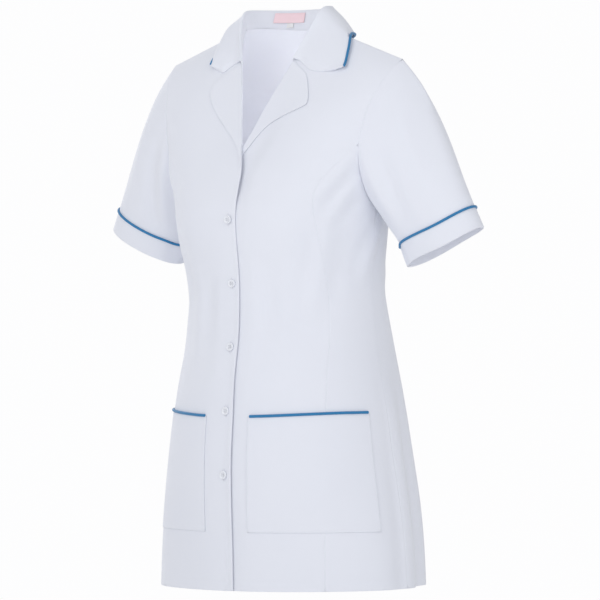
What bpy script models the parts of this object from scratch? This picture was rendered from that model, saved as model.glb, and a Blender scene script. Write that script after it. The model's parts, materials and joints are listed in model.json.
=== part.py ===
"""Nurse uniform dress, worn and filled out, with nobody in it.

The garment is a thigh-length tunic: two fronts that lap at the centre, two side fronts, a back,
short set-in sleeves with cuff bands, a collar with revers, two patch pockets and piping.
Lengths in the tables are millimetres in the wearer's frame: the wearer faces -Y, their left is +X,
+Z is up and the origin lies at the middle of the neck, level with the neck end of the shoulder seam.
The left half is worked out, and the right half is its mirror image unless a table says otherwise.
"""
import math

import bmesh
import bpy
import numpy as np

# Driving dimensions in millimetres
MM = 0.001
WALL = 1.5
CUFF_WALL = 2.0
GAP = 0.3
SHARPEST_SEAM = 0.2
LAYER = WALL + GAP
OVERLAP = 12.0
EDGE_FALL = 0.45
TUCK_AT_BREAK = 6.0
ARMPIT_Z = -238.0
HEM_Z = -750.0
HEM_TILT = 0.02
POCKET_TOP_Z = -519.0
POCKET_BOTTOM_Z = -672.0
RIGHT_LIFT = 7.0
LIFT_FROM_X = -60.0
LIFT_FULL_X = -194.0
LIFT_FULL_Z = -345.0
LIFT_END_Z = -465.0
POCKET_RISE = 5.0
RISE_FROM_X = 45.0
RISE_OVER_X = 100.0
RISE_HEIGHT = 80.0
SIDE_SEAM_ANGLE = math.radians(88.0)
PIPING_RADIUS = 1.7
PIPING_CLEAR = 3.0
TURNED_PIPING_ROOM = 1.6
BUTTON_RADIUS = 5.75
BUTTON_THICKNESS = 2.6
BUTTON_LIFT = 0.2
BUTTON_COUNT = 5
BUTTON_TOP_Z = -258.0
BUTTON_SPACING = 84.5
CUFF_DEPTH = 30.0
CUFF_PROUD = 0.5

# Body sections from armpit to hem: height, half width, y of the side seam, y of the front and of the back
BODY_COLUMNS = ("z", "half_width", "side_y", "front_y", "back_y")
BODY_SECTIONS = (
    (-238.0, 157.0, 5.0, -119.0, 117.0),
    (-265.0, 153.0, 6.0, -119.5, 118.0),
    (-289.0, 149.0, 8.0, -117.0, 119.0),
    (-316.0, 143.8, 10.0, -112.5, 120.0),
    (-364.0, 143.5, 15.0, -110.0, 120.0),
    (-391.0, 146.0, 16.0, -110.5, 129.0),
    (-418.0, 148.6, 16.0, -112.0, 140.0),
    (-445.0, 151.5, 16.0, -117.0, 149.0),
    (-472.0, 158.0, 15.5, -121.0, 151.0),
    (-520.0, 168.0, 15.0, -123.5, 153.5),
    (-566.0, 175.0, 15.6, -127.5, 158.5),
    (-632.0, 186.0, 17.8, -127.0, 162.0),
    (-693.0, 194.0, 18.3, -124.0, 160.5),
    (-752.0, 198.0, 18.7, -122.5, 159.5),
)

# Heights of the rows of points below the armpit
BODY_ROWS = (
    -238.0, -262.0, -288.0, -314.0, -339.0, -364.0, -389.0, -415.0, -441.0, -467.0, -493.0,
    POCKET_TOP_Z, -545.0, -570.0, -596.0, -621.0, -646.0, POCKET_BOTTOM_Z, -698.0, -724.0, HEM_Z,
)

# Flutes of the skirt: degrees round from the centre front to the wearer's left, top, half width, depth outwards
FLUTE_COLUMNS = ("turn", "top_z", "half_width", "depth")
FLUTES = (
    (18.0, -560.0, 26.0, 1.6),
    (52.0, -600.0, 24.0, -2.0),
    (76.0, -520.0, 20.0, 3.0),
    (97.0, -500.0, 22.0, -4.5),
    (118.0, -480.0, 25.0, 3.8),
    (142.0, -470.0, 24.0, -4.0),
    (163.0, -470.0, 25.0, 3.8),
    (188.0, -480.0, 24.0, -4.0),
    (210.0, -465.0, 26.0, 4.8),
    (232.0, -480.0, 22.0, -3.5),
    (254.0, -500.0, 24.0, 4.2),
    (276.0, -520.0, 20.0, -2.5),
    (302.0, -560.0, 26.0, 1.4),
    (330.0, -600.0, 24.0, -1.6),
)
FLUTE_CENTRE_Y = 17.0

# Princess seam: height, distance round the front from the centre line
PRINCESS_COLUMNS = ("z", "arc")
PRINCESS_SEAM = (
    (-238.0, 122.0),
    (-300.0, 130.0),
    (-364.0, 136.0),
    (-472.0, 140.0),
    (-566.0, 142.0),
    (-752.0, 143.0),
)

# Armhole loop from the armpit over the front to the shoulder and down the back, without the armpit point
ARMHOLE_FRONT = ((158.0, -33.0, -214.0), (162.0, -47.0, -160.0), (175.0, -36.0, -98.0))
SHOULDER_TIP = (194.0, 8.0, -46.0)
ARMHOLE_BACK = ((180.0, 50.0, -99.0), (168.0, 62.0, -160.0), (160.0, 42.0, -214.0))

# Front edge and neck line: lapel break, roll line, gorge and neck end of the shoulder seam
BREAK_POINT = (-OVERLAP, -105.0, -190.0)
GORGE_POINT = (44.0, -33.0, -45.0)
NECK_FRONT = (54.5, -20.0, -17.0)
NECK_POINT = (63.0, 0.0, 5.0)
NECK_BACK = ((55.0, 28.0, 8.0), (33.0, 50.0, 6.0), (0.0, 58.0, 4.0))
CENTRE_BACK = ((0.0, 78.0, -40.0), (0.0, 98.0, -100.0), (0.0, 112.0, -170.0))

# Upper rows: share of the way up the armhole, turn of the row at its two ends in degrees
UPPER_COLUMNS = ("share", "start_turn", "end_turn", "start_reach", "end_reach")
UPPER_ROWS = (
    (0.00, 0.0, 88.0, 0.434, 0.342),
    (0.25, 0.0, 68.0, 0.40, 0.34),
    (0.50, -3.0, 46.0, 0.36, 0.33),
    (0.75, -2.0, 20.0, 0.34, 0.33),
    (1.00, 0.0, 0.0, 0.333, 0.333),
)
FRONT_SHARES = (0.0, 0.09, 0.185, 0.265, 0.345, 0.42, 0.52, 0.62, 0.72, 0.82, 0.91, 1.0)
BACK_SHARES = (0.0, 0.10, 0.20, 0.30, 0.40, 0.50, 0.60, 0.70, 0.80, 0.90, 1.0)
PRINCESS_SHARE = 0.42
BACK_NECK_SHARE = 0.70
BREAK_SHARE = 0.185

# Columns of points across each panel, as shares of its width
FRONT_SPLITS = (0.0, 0.161, 0.235, 0.309, 0.45, 0.59, 0.73, 0.865, 1.0)
SIDE_SPLITS = (0.0, 0.22, 0.44, 0.65, 0.83, 1.0)
BACK_SPLITS = (0.0, 0.125, 0.25, 0.375, 0.5, 0.625, 0.75, 0.875, 1.0)
POCKET_FIRST_SPLIT = 3
POCKET_LAST_SPLIT = 3

# Fullness over the bust
BUST_X = 88.0
BUST_Z = -252.0
BUST_DEPTH = 9.0
BUST_WIDTH = 50.0
BUST_HEIGHT = 62.0

# Sleeve: middle of the cuff's open end, its half sizes, and how far the sleeve head puffs
CUFF_CENTRE = (254.0, 21.0, -295.0)
CUFF_BACK_LEAN = math.radians(4.0)
CUFF_HALF_WIDTH = 63.0
CUFF_HALF_DEPTH = 37.0
CUFF_LEAN = math.radians(25.0)
SLEEVE_ROWS = 8
HEAD_PUFF = 0.42
SIDE_PUFF = 0.22

# Lapel outlines: share on the roll line, share on the outer edge, distance from the roll line
LAPEL_COLUMNS = ("roll", "edge", "reach")
LAPEL_EDGE = (
    (0.190, 0.200, 3.5),
    (0.300, 0.300, 9.0),
    (0.390, 0.385, 13.0),
    (0.450, 0.445, 22.0),
    (0.500, 0.498, 37.0),
    (0.550, 0.550, 56.0),
    (0.585, 0.582, 64.0),
    (0.630, 0.624, 60.0),
    (0.690, 0.684, 46.0),
    (0.780, 0.738, 33.0),
)
RIGHT_LAPEL_EDGE = (
    (0.190, 0.200, 3.0),
    (0.300, 0.300, 6.0),
    (0.370, 0.368, 16.0),
    (0.440, 0.438, 28.0),
    (0.500, 0.498, 38.0),
    (0.560, 0.558, 46.0),
    (0.620, 0.617, 52.0),
    (0.670, 0.666, 53.0),
    (0.712, 0.704, 48.0),
    (0.780, 0.738, 33.0),
)
LAPEL_SPLITS = 5
LAPEL_LIFT = 0.9

# Collar stations from the gorge to the centre back: fold line, leaf edge, and how far the wearer's right
# leaf is drawn in and rolls over its own edge
COLLAR_COLUMNS = ("fold_x", "fold_y", "fold_z", "edge_x", "edge_y", "edge_z", "right_draw", "right_roll")
COLLAR_STATIONS = (
    (43.0, -39.0, -41.0, 127.0, -34.0, -52.0, 30.0, 3.0),
    (50.0, -30.0, -23.0, 124.0, -22.0, -41.0, 25.0, 3.8),
    (57.0, -20.0, -2.0, 118.0, -8.0, -26.0, 19.0, 3.8),
    (62.0, -11.0, 16.0, 111.0, 3.0, -14.0, 13.0, 3.5),
    (64.5, 0.0, 29.0, 105.0, 14.0, -7.0, 7.5, 2.8),
    (62.0, 20.0, 32.0, 96.0, 34.0, -6.0, 3.5, 1.6),
    (52.0, 40.0, 33.0, 78.0, 57.0, -7.0, 1.0, 1.0),
    (37.0, 53.0, 33.0, 54.0, 73.0, -11.0, 0.0, 0.0),
    (19.0, 60.0, 33.0, 28.0, 82.0, -14.0, 0.0, 0.0),
    (0.0, 62.0, 33.0, 0.0, 85.0, -15.0, 0.0, 0.0),
)
LEAF_SPLITS = 5
LEAF_CLEAR = 3.4
LEAF_BOW = 2.0
FOLD_RADIUS = 2.5
MIN_STAND = 4.5
STAND_SEAM_GAP = 2.0
FIRST_SEAM_GAP = 3.2
NECK_AIM = (0.0, 0.0, 60.0)
COLLAR_GORGE_ROLL = 0.808
COLLAR_GORGE_EDGE = 0.757
STATION_STEPS = 2

# Label and size tab inside the back neck: half width, top and bottom height
LABEL_X = -27.0
LABEL_HALF_WIDTH = 20.0
LABEL_LIFT = 0.8
LABEL_TOP_Z = 28.0
LABEL_BOTTOM_Z = 14.0
TAB_HALF_WIDTH = 4.5
TAB_BOTTOM_Z = 7.0
LABEL_WALL = 1.0

# Finishes: colour, roughness
FINISHES = {
    "white_cloth": ((0.80, 0.83, 0.88), 0.85),
    "blue_piping": ((0.045, 0.16, 0.31), 0.7),
    "button_white": ((0.85, 0.86, 0.88), 0.35),
    "label_pink": ((0.80, 0.55, 0.62), 0.8),
    "tab_white": ((0.86, 0.86, 0.86), 0.8),
}


def column(names, rows, name):
    """One named column of a table, as an array."""
    return np.array([row[names.index(name)] for row in rows])


def smooth(keys, values, where):
    """Value at one place on a smooth line through a column, with keys in rising or falling order."""
    if keys[0] > keys[-1]:
        keys = keys[::-1]
        values = values[::-1]
    where = min(max(where, keys[0]), keys[-1])
    slopes = np.gradient(values, keys)
    k = int(min(np.searchsorted(keys, where, side="right") - 1, len(keys) - 2))
    span = keys[k + 1] - keys[k]
    t = (where - keys[k]) / span
    start = (1 + 2 * t) * (1 - t) ** 2 * values[k] + t * (1 - t) ** 2 * span * slopes[k]
    end = t * t * (3 - 2 * t) * values[k + 1] + t * t * (t - 1) * span * slopes[k + 1]
    return start + end


def lookup(names, rows, name, where):
    """A table's named column read smoothly at a value of its first column."""
    return smooth(column(names, rows, names[0]), column(names, rows, name), where)


def spline(points, steps=16):
    """Dense points on a smooth curve through the given points."""
    points = np.array(points, float)
    padded = np.vstack([2 * points[0] - points[1], points, 2 * points[-1] - points[-2]])
    dense = []
    for k in range(len(points) - 1):
        p0, p1, p2, p3 = padded[k:k + 4]
        for t in np.linspace(0, 1, steps, endpoint=False):
            a = 2 * p1 + (p2 - p0) * t
            b = (2 * p0 - 5 * p1 + 4 * p2 - p3) * t * t
            c = (3 * p1 - p0 - 3 * p2 + p3) * t ** 3
            dense.append(0.5 * (a + b + c))
    dense.append(points[-1])
    return np.array(dense)


def travel(path):
    """Distance along a path at each of its points."""
    steps = np.linalg.norm(np.diff(path, axis=0), axis=1)
    return np.concatenate([[0.0], np.cumsum(steps)])


def along(path, distance):
    """Point on a path at a distance from its start."""
    far = travel(path)
    distance = min(max(distance, 0.0), far[-1])
    return np.array([np.interp(distance, far, path[:, axis]) for axis in range(3)])


def share_of(path, share):
    """Point on a path at a share of its length."""
    return along(path, share * travel(path)[-1])


def mirrored(point):
    """The point on the wearer's other side."""
    return np.array([-point[0], point[1], point[2]])


def unit(vector):
    """The vector at length one."""
    return np.array(vector, float) / np.linalg.norm(vector)


# Body below the armpit

def body_point(z, angle):
    """Point of the body's outer surface at a height, with angle 0 at the centre front."""
    half_width = lookup(BODY_COLUMNS, BODY_SECTIONS, "half_width", z)
    side_y = lookup(BODY_COLUMNS, BODY_SECTIONS, "side_y", z)
    end_name = "front_y" if math.cos(angle) > 0 else "back_y"
    depth = abs(lookup(BODY_COLUMNS, BODY_SECTIONS, end_name, z) - side_y)
    x = half_width * math.sin(angle)
    return np.array([x, side_y - depth * math.cos(angle), z])


def hem_share(z):
    """How far down the skirt a height is, from 0 at the hip to 1 at the hem."""
    return min(max((z + 472.0) / (HEM_Z + 472.0), 0.0), 1.0)


def with_bust(point):
    """A front point moved out by the fullness over the bust."""
    if point[1] > 0:
        return point
    side = math.copysign(1.0, point[0])
    across = (abs(point[0]) - BUST_X) / BUST_WIDTH
    up = (point[2] - BUST_Z) / BUST_HEIGHT
    lift = BUST_DEPTH * math.exp(-across * across - up * up)
    return point + lift * np.array([0.4 * side, -0.92, 0.0])


def front_ring(z):
    """Dense row from the front edge, past the centre line, to the side seam."""
    quarter = np.array([body_point(z, t) for t in np.linspace(0, SIDE_SEAM_ANGLE, 61)])
    edge = [quarter[0] + np.array([-OVERLAP * (1 - t), EDGE_FALL * (1 - t), 0.0]) for t in (0.0, 0.5)]
    return np.vstack([edge, quarter])


def back_ring(z):
    """Dense row from the centre back to the side seam."""
    return np.array([body_point(z, t) for t in np.linspace(math.pi, SIDE_SEAM_ANGLE, 61)])


# Body above the armpit

def armhole_halves():
    """Dense front and back halves of the armhole, both from the armpit up."""
    armpit = body_point(ARMPIT_Z, SIDE_SEAM_ANGLE)
    loop = [armpit, *ARMHOLE_FRONT, SHOULDER_TIP, *ARMHOLE_BACK, armpit]
    steps = 16
    wrapped = spline([ARMHOLE_BACK[-1], *loop, ARMHOLE_FRONT[0]], steps)[steps:-steps]
    top = steps * (len(ARMHOLE_FRONT) + 1)
    return wrapped[:top + 1], wrapped[top:][::-1]


def front_edge_path():
    """Dense line up the front edge, the roll line and the neck seam."""
    start = front_ring(ARMPIT_Z)[0]
    lower = spline([start, BREAK_POINT], 8)
    roll = spline([BREAK_POINT, GORGE_POINT], 16)
    neck = spline([GORGE_POINT, NECK_FRONT, NECK_POINT], 8)
    return np.vstack([lower[:-1], roll[:-1], neck])


def back_edge_path():
    """Dense line up the centre back and round the neck seam."""
    start = back_ring(ARMPIT_Z)[0]
    centre = spline([start, CENTRE_BACK[2], CENTRE_BACK[1], CENTRE_BACK[0], NECK_BACK[2]], 8)
    neck = spline([NECK_BACK[2], NECK_BACK[1], NECK_BACK[0], NECK_POINT], 8)
    return np.vstack([centre[:-1], neck])


ARM_FRONT, ARM_BACK = armhole_halves()
FRONT_EDGE = front_edge_path()
BACK_EDGE = back_edge_path()


def edge_share(path, share, knee_share, knee_distance):
    """Point on an edge whose knee lies at a stated share of the rows."""
    total = travel(path)[-1]
    if share <= knee_share:
        return along(path, knee_distance * share / knee_share)
    rest = (share - knee_share) / (1 - knee_share)
    return along(path, knee_distance + rest * (total - knee_distance))


BREAK_DISTANCE = travel(spline([front_ring(ARMPIT_Z)[0], BREAK_POINT], 8))[-1]
BACK_NECK_DISTANCE = travel(back_edge_path()[:33])[-1]


def upper_row(share, back=False):
    """Dense row from the neck or front edge to the armhole, at a share of the way up."""
    if share <= 0:
        return back_ring(ARMPIT_Z) if back else front_ring(ARMPIT_Z)
    if back:
        start = edge_share(BACK_EDGE, share, BACK_NECK_SHARE, BACK_NECK_DISTANCE)
        end = share_of(ARM_BACK, share)
    else:
        start = edge_share(FRONT_EDGE, share, BREAK_SHARE, BREAK_DISTANCE)
        end = share_of(ARM_FRONT, share)
    turn = -1.0 if back else 1.0
    first = math.radians(lookup(UPPER_COLUMNS, UPPER_ROWS, "start_turn", share)) * turn
    last = math.radians(lookup(UPPER_COLUMNS, UPPER_ROWS, "end_turn", share)) * turn
    first_reach = lookup(UPPER_COLUMNS, UPPER_ROWS, "start_reach", share)
    last_reach = lookup(UPPER_COLUMNS, UPPER_ROWS, "end_reach", share)
    chord = np.linalg.norm(end - start)
    slope = (end[2] - start[2]) / chord
    leave = np.array([math.cos(first), math.sin(first), slope]) * first_reach * chord
    arrive = np.array([math.cos(last), math.sin(last), slope]) * last_reach * chord
    if share >= 1.0:
        leave = (end - start) / 3
        arrive = leave
    row = []
    for t in np.linspace(0, 1, 41):
        s = 1 - t
        row.append(s ** 3 * start + 3 * s * s * t * (start + leave)
                   + 3 * s * t * t * (end - arrive) + t ** 3 * end)
    return np.array(row)


def princess_share(height_share):
    """Where the princess seam crosses an upper row, as a share of the row."""
    ring = front_ring(ARMPIT_Z)
    seam_arc = lookup(PRINCESS_COLUMNS, PRINCESS_SEAM, "arc", ARMPIT_Z) + OVERLAP
    start = seam_arc / travel(ring)[-1]
    return start + (1 - start) * min(height_share / PRINCESS_SHARE, 1.0) ** 1.5


def ring_princess_share(z):
    """Where the princess seam crosses a row below the armpit, as a share of the row."""
    arc = lookup(PRINCESS_COLUMNS, PRINCESS_SEAM, "arc", z) + OVERLAP
    return arc / travel(front_ring(z))[-1]


# Grids of outer points, from the top row down

def grid(rows, low_shares, high_shares, splits):
    """Points across a list of rows, between two shares of each row and at that row's splits."""
    points = []
    for row, low, high, cuts in zip(rows, low_shares, high_shares, splits):
        points.append([with_bust(share_of(row, low + (high - low) * cut)) for cut in cuts])
    return points


def front_splits(share):
    """Splits of the front at an upper row, which meet the back's splits at the shoulder seam."""
    t = max(share - PRINCESS_SHARE, 0.0) / (1.0 - PRINCESS_SHARE)
    return [front + (back - front) * t for front, back in zip(FRONT_SPLITS, BACK_SPLITS)]


def front_grid():
    """Left front panel: shoulder seam down to the hem, front edge to princess seam."""
    shares = FRONT_SHARES[:0:-1]
    rows = [upper_row(share) for share in shares] + [front_ring(z) for z in BODY_ROWS]
    high = [princess_share(share) for share in shares] + [ring_princess_share(z) for z in BODY_ROWS]
    splits = [front_splits(share) for share in shares] + [FRONT_SPLITS] * len(BODY_ROWS)
    return grid(rows, [0.0] * len(rows), high, splits)


def side_front_grid():
    """Left side front panel: armhole down to the hem, princess seam to side seam."""
    shares = [share for share in FRONT_SHARES[:0:-1] if share <= PRINCESS_SHARE]
    rows = [upper_row(share) for share in shares] + [front_ring(z) for z in BODY_ROWS]
    low = [princess_share(share) for share in shares] + [ring_princess_share(z) for z in BODY_ROWS]
    return grid(rows, low, [1.0] * len(rows), [SIDE_SPLITS] * len(rows))


def back_grid():
    """Left half of the back panel: shoulder seam down to the hem, centre back to side seam."""
    shares = BACK_SHARES[:0:-1]
    rows = [upper_row(share, True) for share in shares] + [back_ring(z) for z in BODY_ROWS]
    return grid(rows, [0.0] * len(rows), [1.0] * len(rows), [BACK_SPLITS] * len(rows))


def sleeve_axes():
    """The sleeve's direction, and its outward and forward directions across it."""
    back = math.sin(CUFF_BACK_LEAN)
    axis = unit([math.sin(CUFF_LEAN), back, -math.cos(CUFF_LEAN)])
    forward = unit(np.array([0.0, -1.0, 0.0]) + axis[1] * axis)
    outward = unit(np.cross(forward, axis))
    return axis, outward, forward


def cuff_ring_point(turn, distance, proud=0.0):
    """Point round the sleeve's end, turn 0 at the outer side, at a distance above the open end."""
    axis, outward, forward = sleeve_axes()
    around = (CUFF_HALF_WIDTH + proud) * math.cos(turn) * outward
    around = around + (CUFF_HALF_DEPTH + proud) * math.sin(turn) * forward
    return np.array(CUFF_CENTRE) - distance * axis + around


def sleeve_columns():
    """Armhole points with their turn round the sleeve, from the armpit over the front and back."""
    columns = []
    for share in FRONT_SHARES:
        columns.append((with_bust(upper_row(share)[-1]), math.pi * (1 - share)))
    for share in BACK_SHARES[-2:0:-1]:
        columns.append((upper_row(share, True)[-1], -math.pi * (1 - share)))
    return columns


def sleeve_grid():
    """Rows of points round the left sleeve, from the armhole to the cuff seam."""
    axis, outward, forward = sleeve_axes()
    rows = []
    for k in range(SLEEVE_ROWS + 1):
        t = k / SLEEVE_ROWS
        row = []
        for start, turn in sleeve_columns():
            end = cuff_ring_point(turn, CUFF_DEPTH)
            span = np.linalg.norm(end - start)
            puff = HEAD_PUFF * max(math.cos(turn), 0.0) * outward
            puff = puff + SIDE_PUFF * math.sin(turn) * forward
            leave = unit(axis + puff) * span
            if math.cos(turn) < 0:
                straight = unit(end - start) * span
                leave = leave + (straight - leave) * math.cos(turn) ** 2
            arrive = axis * span
            point = (1 + 2 * t) * (1 - t) ** 2 * start + t * (1 - t) ** 2 * leave
            point = point + t * t * (3 - 2 * t) * end + t * t * (t - 1) * arrive
            row.append(point)
        rows.append(row)
    return rows


def cuff_grid():
    """Rows of points round the left cuff band, from its seam to its open end."""
    turns = [turn for _, turn in sleeve_columns()]
    return [[cuff_ring_point(turn, distance, CUFF_PROUD) for turn in turns]
            for distance in (CUFF_DEPTH, CUFF_DEPTH / 2, 0.0)]


# Sheets: outer points and faces that become a wall with its own thickness

class Sheet:
    """Outer points and faces of one piece of cloth."""

    def __init__(self, name, finish, wall=WALL, lift=0.0):
        self.name = name
        self.finish = finish
        self.wall = wall
        self.lift = lift
        self.points = []
        self.faces = []
        self.keys = {}

    def add_point(self, point):
        """Index of a point, shared with any point in the same place."""
        key = tuple(np.round(point, 3))
        if key not in self.keys:
            self.keys[key] = len(self.points)
            self.points.append(np.array(point, float))
        return self.keys[key]

    def add_grid(self, rows, closed=False, flip=False):
        """Faces between the points of a grid whose rows may close into a ring."""
        count = len(rows[0])
        for upper, lower in zip(rows[:-1], rows[1:]):
            for k in range(count if closed else count - 1):
                n = (k + 1) % count
                corners = [upper[k], lower[k], lower[n], upper[n]]
                if flip:
                    corners = corners[::-1]
                face = []
                for corner in corners:
                    index = self.add_point(corner)
                    if index not in face:
                        face.append(index)
                if len(face) > 2:
                    self.faces.append(face)

    def face_normal(self, face):
        """Outward direction of a face, with the face's size as its length."""
        p = [self.points[i] for i in face]
        if len(p) == 3:
            return np.cross(p[1] - p[0], p[2] - p[0])
        return np.cross(p[2] - p[0], p[3] - p[1])


def weld_normals(sheets):
    """For each place on the given sheets, the unit normals of all faces that meet there."""
    found = {}
    for sheet in sheets:
        for face in sheet.faces:
            normal = sheet.face_normal(face)
            size = np.linalg.norm(normal)
            if size < 1e-9:
                continue
            for index in face:
                key = tuple(np.round(sheet.points[index], 3))
                found.setdefault(key, []).append(normal / size)
    return found


def wall_normal(normals):
    """Shared direction of several faces, lengthened so that each face moves by one unit."""
    mean = unit(np.sum(normals, axis=0))
    least = min(float(np.dot(mean, normal)) for normal in normals)
    return mean / max(least, 0.45)


def inset_moves(sheet, amount):
    """Move of each rim point into its own sheet, so that neighbours stay apart at seams."""
    edges = {}
    for face in sheet.faces:
        normal = unit(sheet.face_normal(face))
        for a, b in zip(face, face[1:] + face[:1]):
            if (b, a) in edges:
                del edges[(b, a)]
            else:
                edges[(a, b)] = unit(np.cross(normal, sheet.points[b] - sheet.points[a]))
    moves = {}
    for (a, b), inward in edges.items():
        moves.setdefault(a, []).append(inward)
        moves.setdefault(b, []).append(inward)
    result = {}
    for index, directions in moves.items():
        mean = unit(np.sum(directions, axis=0))
        least = min(float(np.dot(mean, direction)) for direction in directions)
        result[index] = mean * amount / max(least, 0.5)
    return result, list(edges)


def fluted(point):
    """A point moved in or out by the flutes of the skirt, which deepen towards the hem."""
    top = max(row[FLUTE_COLUMNS.index("top_z")] for row in FLUTES)
    if point[2] > top:
        return np.array(point)
    away = np.array([point[0], point[1] - FLUTE_CENTRE_Y, 0.0])
    radius = np.linalg.norm(away)
    turn = math.degrees(math.atan2(away[0], -away[1]))
    move = 0.0
    for middle, start_z, half_width, depth in FLUTES:
        apart = math.radians((turn - middle + 180.0) % 360.0 - 180.0) * radius / half_width
        share = min(max((start_z - point[2]) / (start_z - HEM_Z), 0.0), 1.0)
        move += depth * share * share * (3 - 2 * share) * math.exp(-apart * apart)
    return point + move * away / radius


def settled(point):
    """A point after the skirt's flutes, the hem's tilt and the lifts of pocket tops and right shoulder."""
    point = fluted(point)
    tilt = HEM_TILT * point[0] * hem_share(point[2])
    beside = min(max((abs(point[0]) - RISE_FROM_X) / RISE_OVER_X, 0.0), 1.0)
    tilt += POCKET_RISE * beside * math.exp(-((point[2] - POCKET_TOP_Z) / RISE_HEIGHT) ** 2)
    outward = min(max((point[0] - LIFT_FROM_X) / (LIFT_FULL_X - LIFT_FROM_X), 0.0), 1.0)
    upward = min(max((point[2] - LIFT_END_Z) / (LIFT_FULL_Z - LIFT_END_Z), 0.0), 1.0)
    lift = RIGHT_LIFT * outward * (3 - 2 * upward) * upward ** 2
    return np.array([point[0], point[1], point[2] + tilt + lift])


def make_object(name, points, faces, finish):
    """A Blender object at the origin with its place in its mesh, in metres."""
    mesh = bpy.data.meshes.new(name)
    shape = bmesh.new()
    corners = [shape.verts.new(settled(point) * MM) for point in points]
    for face in faces:
        shape.faces.new([corners[i] for i in face])
    bmesh.ops.triangulate(shape, faces=shape.faces, quad_method="SHORT_EDGE")
    shape.to_mesh(mesh)
    shape.free()
    mesh.materials.append(material(finish))
    for polygon in mesh.polygons:
        polygon.use_smooth = True
    mesh.set_sharp_from_angle(angle=math.radians(50))
    piece = bpy.data.objects.new(name, mesh)
    bpy.context.scene.collection.objects.link(piece)
    return piece


def material(finish):
    """The named finish as a Principled material."""
    known = bpy.data.materials.get(finish)
    if known:
        return known
    colour, roughness = FINISHES[finish]
    made = bpy.data.materials.new(finish)
    made.use_nodes = True
    shader = made.node_tree.nodes["Principled BSDF"]
    shader.inputs["Base Color"].default_value = (*colour, 1.0)
    shader.inputs["Roughness"].default_value = roughness
    shader.inputs["Metallic"].default_value = 0.0
    made.diffuse_color = (*colour, 1.0)
    return made


def build_wall(sheet, normals):
    """Turn a sheet into a closed wall: lift is its inner side's height over its own points."""
    moves, rim = inset_moves(sheet, GAP / 2)
    for index, move in moves.items():
        found = normals[tuple(np.round(sheet.points[index], 3))]
        mean = unit(np.sum(found, axis=0))
        least = min(float(np.dot(mean, normal)) for normal in found)
        moves[index] = move / max(least, SHARPEST_SEAM)
    outer = []
    inner = []
    for index, point in enumerate(sheet.points):
        normal = wall_normal(normals[tuple(np.round(point, 3))])
        base = point + moves.get(index, np.zeros(3))
        if sheet.lift > 0:
            outer.append(base + normal * (sheet.lift + sheet.wall))
            inner.append(base + normal * sheet.lift)
        else:
            outer.append(base)
            inner.append(base - normal * sheet.wall)
    count = len(outer)
    faces = [list(face) for face in sheet.faces]
    faces += [[i + count for i in face[::-1]] for face in sheet.faces]
    faces += [[b, a, a + count, b + count] for a, b in rim]
    return make_object(sheet.name, outer + inner, faces, sheet.finish)


def tube(name, path, closed, finish, radius=PIPING_RADIUS, sides=6):
    """A round cord of cloth along a list of points with a direction to stand its first corner on."""
    points = [np.array(p) for p, _ in path]
    ups = [np.array(u) for _, u in path]
    count = len(points)
    ring_points = []
    for k in range(count):
        before = points[(k - 1) % count] if closed or k > 0 else points[k]
        after = points[(k + 1) % count] if closed or k < count - 1 else points[k]
        forward = unit(after - before)
        up = unit(ups[k] - np.dot(ups[k], forward) * forward)
        side = np.cross(forward, up)
        for s in range(sides):
            angle = 2 * math.pi * (s + 0.5) / sides
            ring_points.append(points[k] + radius * (math.cos(angle) * up + math.sin(angle) * side))
    faces = []
    for k in range(count if closed else count - 1):
        n = (k + 1) % count
        for s in range(sides):
            t = (s + 1) % sides
            faces.append([k * sides + s, k * sides + t, n * sides + t, n * sides + s])
    if not closed:
        faces.append([s for s in range(sides)][::-1])
        faces.append([(count - 1) * sides + s for s in range(sides)])
    return make_object(name, ring_points, faces, finish)


# Left front under the right one

def tuck_depth(distance, z):
    """How far the left front lies inside, at a distance from its edge."""
    rise = min(max((z + 245.0) / 30.0, 0.0), 1.0)
    fade = min(max((-90.0 - z) / 60.0, 0.0), 1.0)
    depth = (LAYER + (TUCK_AT_BREAK - LAYER) * rise) * fade
    flat = 2 * OVERLAP + 2.0
    ramp = 20.0
    t = min(max((distance - flat) / ramp, 0.0), 1.0)
    return depth * (0.5 + 0.5 * math.cos(math.pi * t))


def tuck(rows):
    """A grid of left front points with the strip by its edge moved inside."""
    moved = []
    for row in rows:
        far = travel(np.array(row))
        line = []
        for point, distance in zip(row, far):
            inward = unit([-point[0] * 0.6, -point[1], 0.0])
            line.append(point + inward * tuck_depth(distance, point[2]))
        moved.append(line)
    return moved


# Lapels

def lapel_grid(left):
    """Rows of points from the gorge down to the break, roll line to outer edge, on the front."""
    rows = []
    outline = LAPEL_EDGE if left else RIGHT_LAPEL_EDGE
    roll = column(LAPEL_COLUMNS, outline, "roll")
    edge = column(LAPEL_COLUMNS, outline, "edge")
    reach = column(LAPEL_COLUMNS, outline, "reach")
    for k in range(len(outline) - 1, -1, -1):
        row = []
        for s in range(LAPEL_SPLITS + 1):
            t = s / LAPEL_SPLITS
            share = roll[k] + (edge[k] - roll[k]) * t
            distance = reach[k] * t
            point = with_bust(along(upper_row(share), distance))
            if left:
                inward = unit([-point[0] * 0.6, -point[1], 0.0])
                point = point + inward * tuck_depth(distance, point[2])
            row.append(point)
        rows.append(row)
    return rows


# Collar

def shoulder_cloud():
    """Dense outer points and normals of the upper body, used to hold the collar clear of it."""
    points = []
    normals = []
    for back in (False, True):
        rows = [upper_row(share, back) for share in np.linspace(0.3, 1.0, 90)]
        for lower, upper in zip(rows[:-1], rows[1:]):
            for k in range(len(upper) - 1):
                normal = np.cross(upper[k + 1] - upper[k], upper[k] - lower[k])
                if back:
                    normal = -normal
                if np.linalg.norm(normal) > 1e-6:
                    points.append(with_bust(upper[k]))
                    normals.append(unit(normal))
    return np.array(points), np.array(normals)


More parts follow.
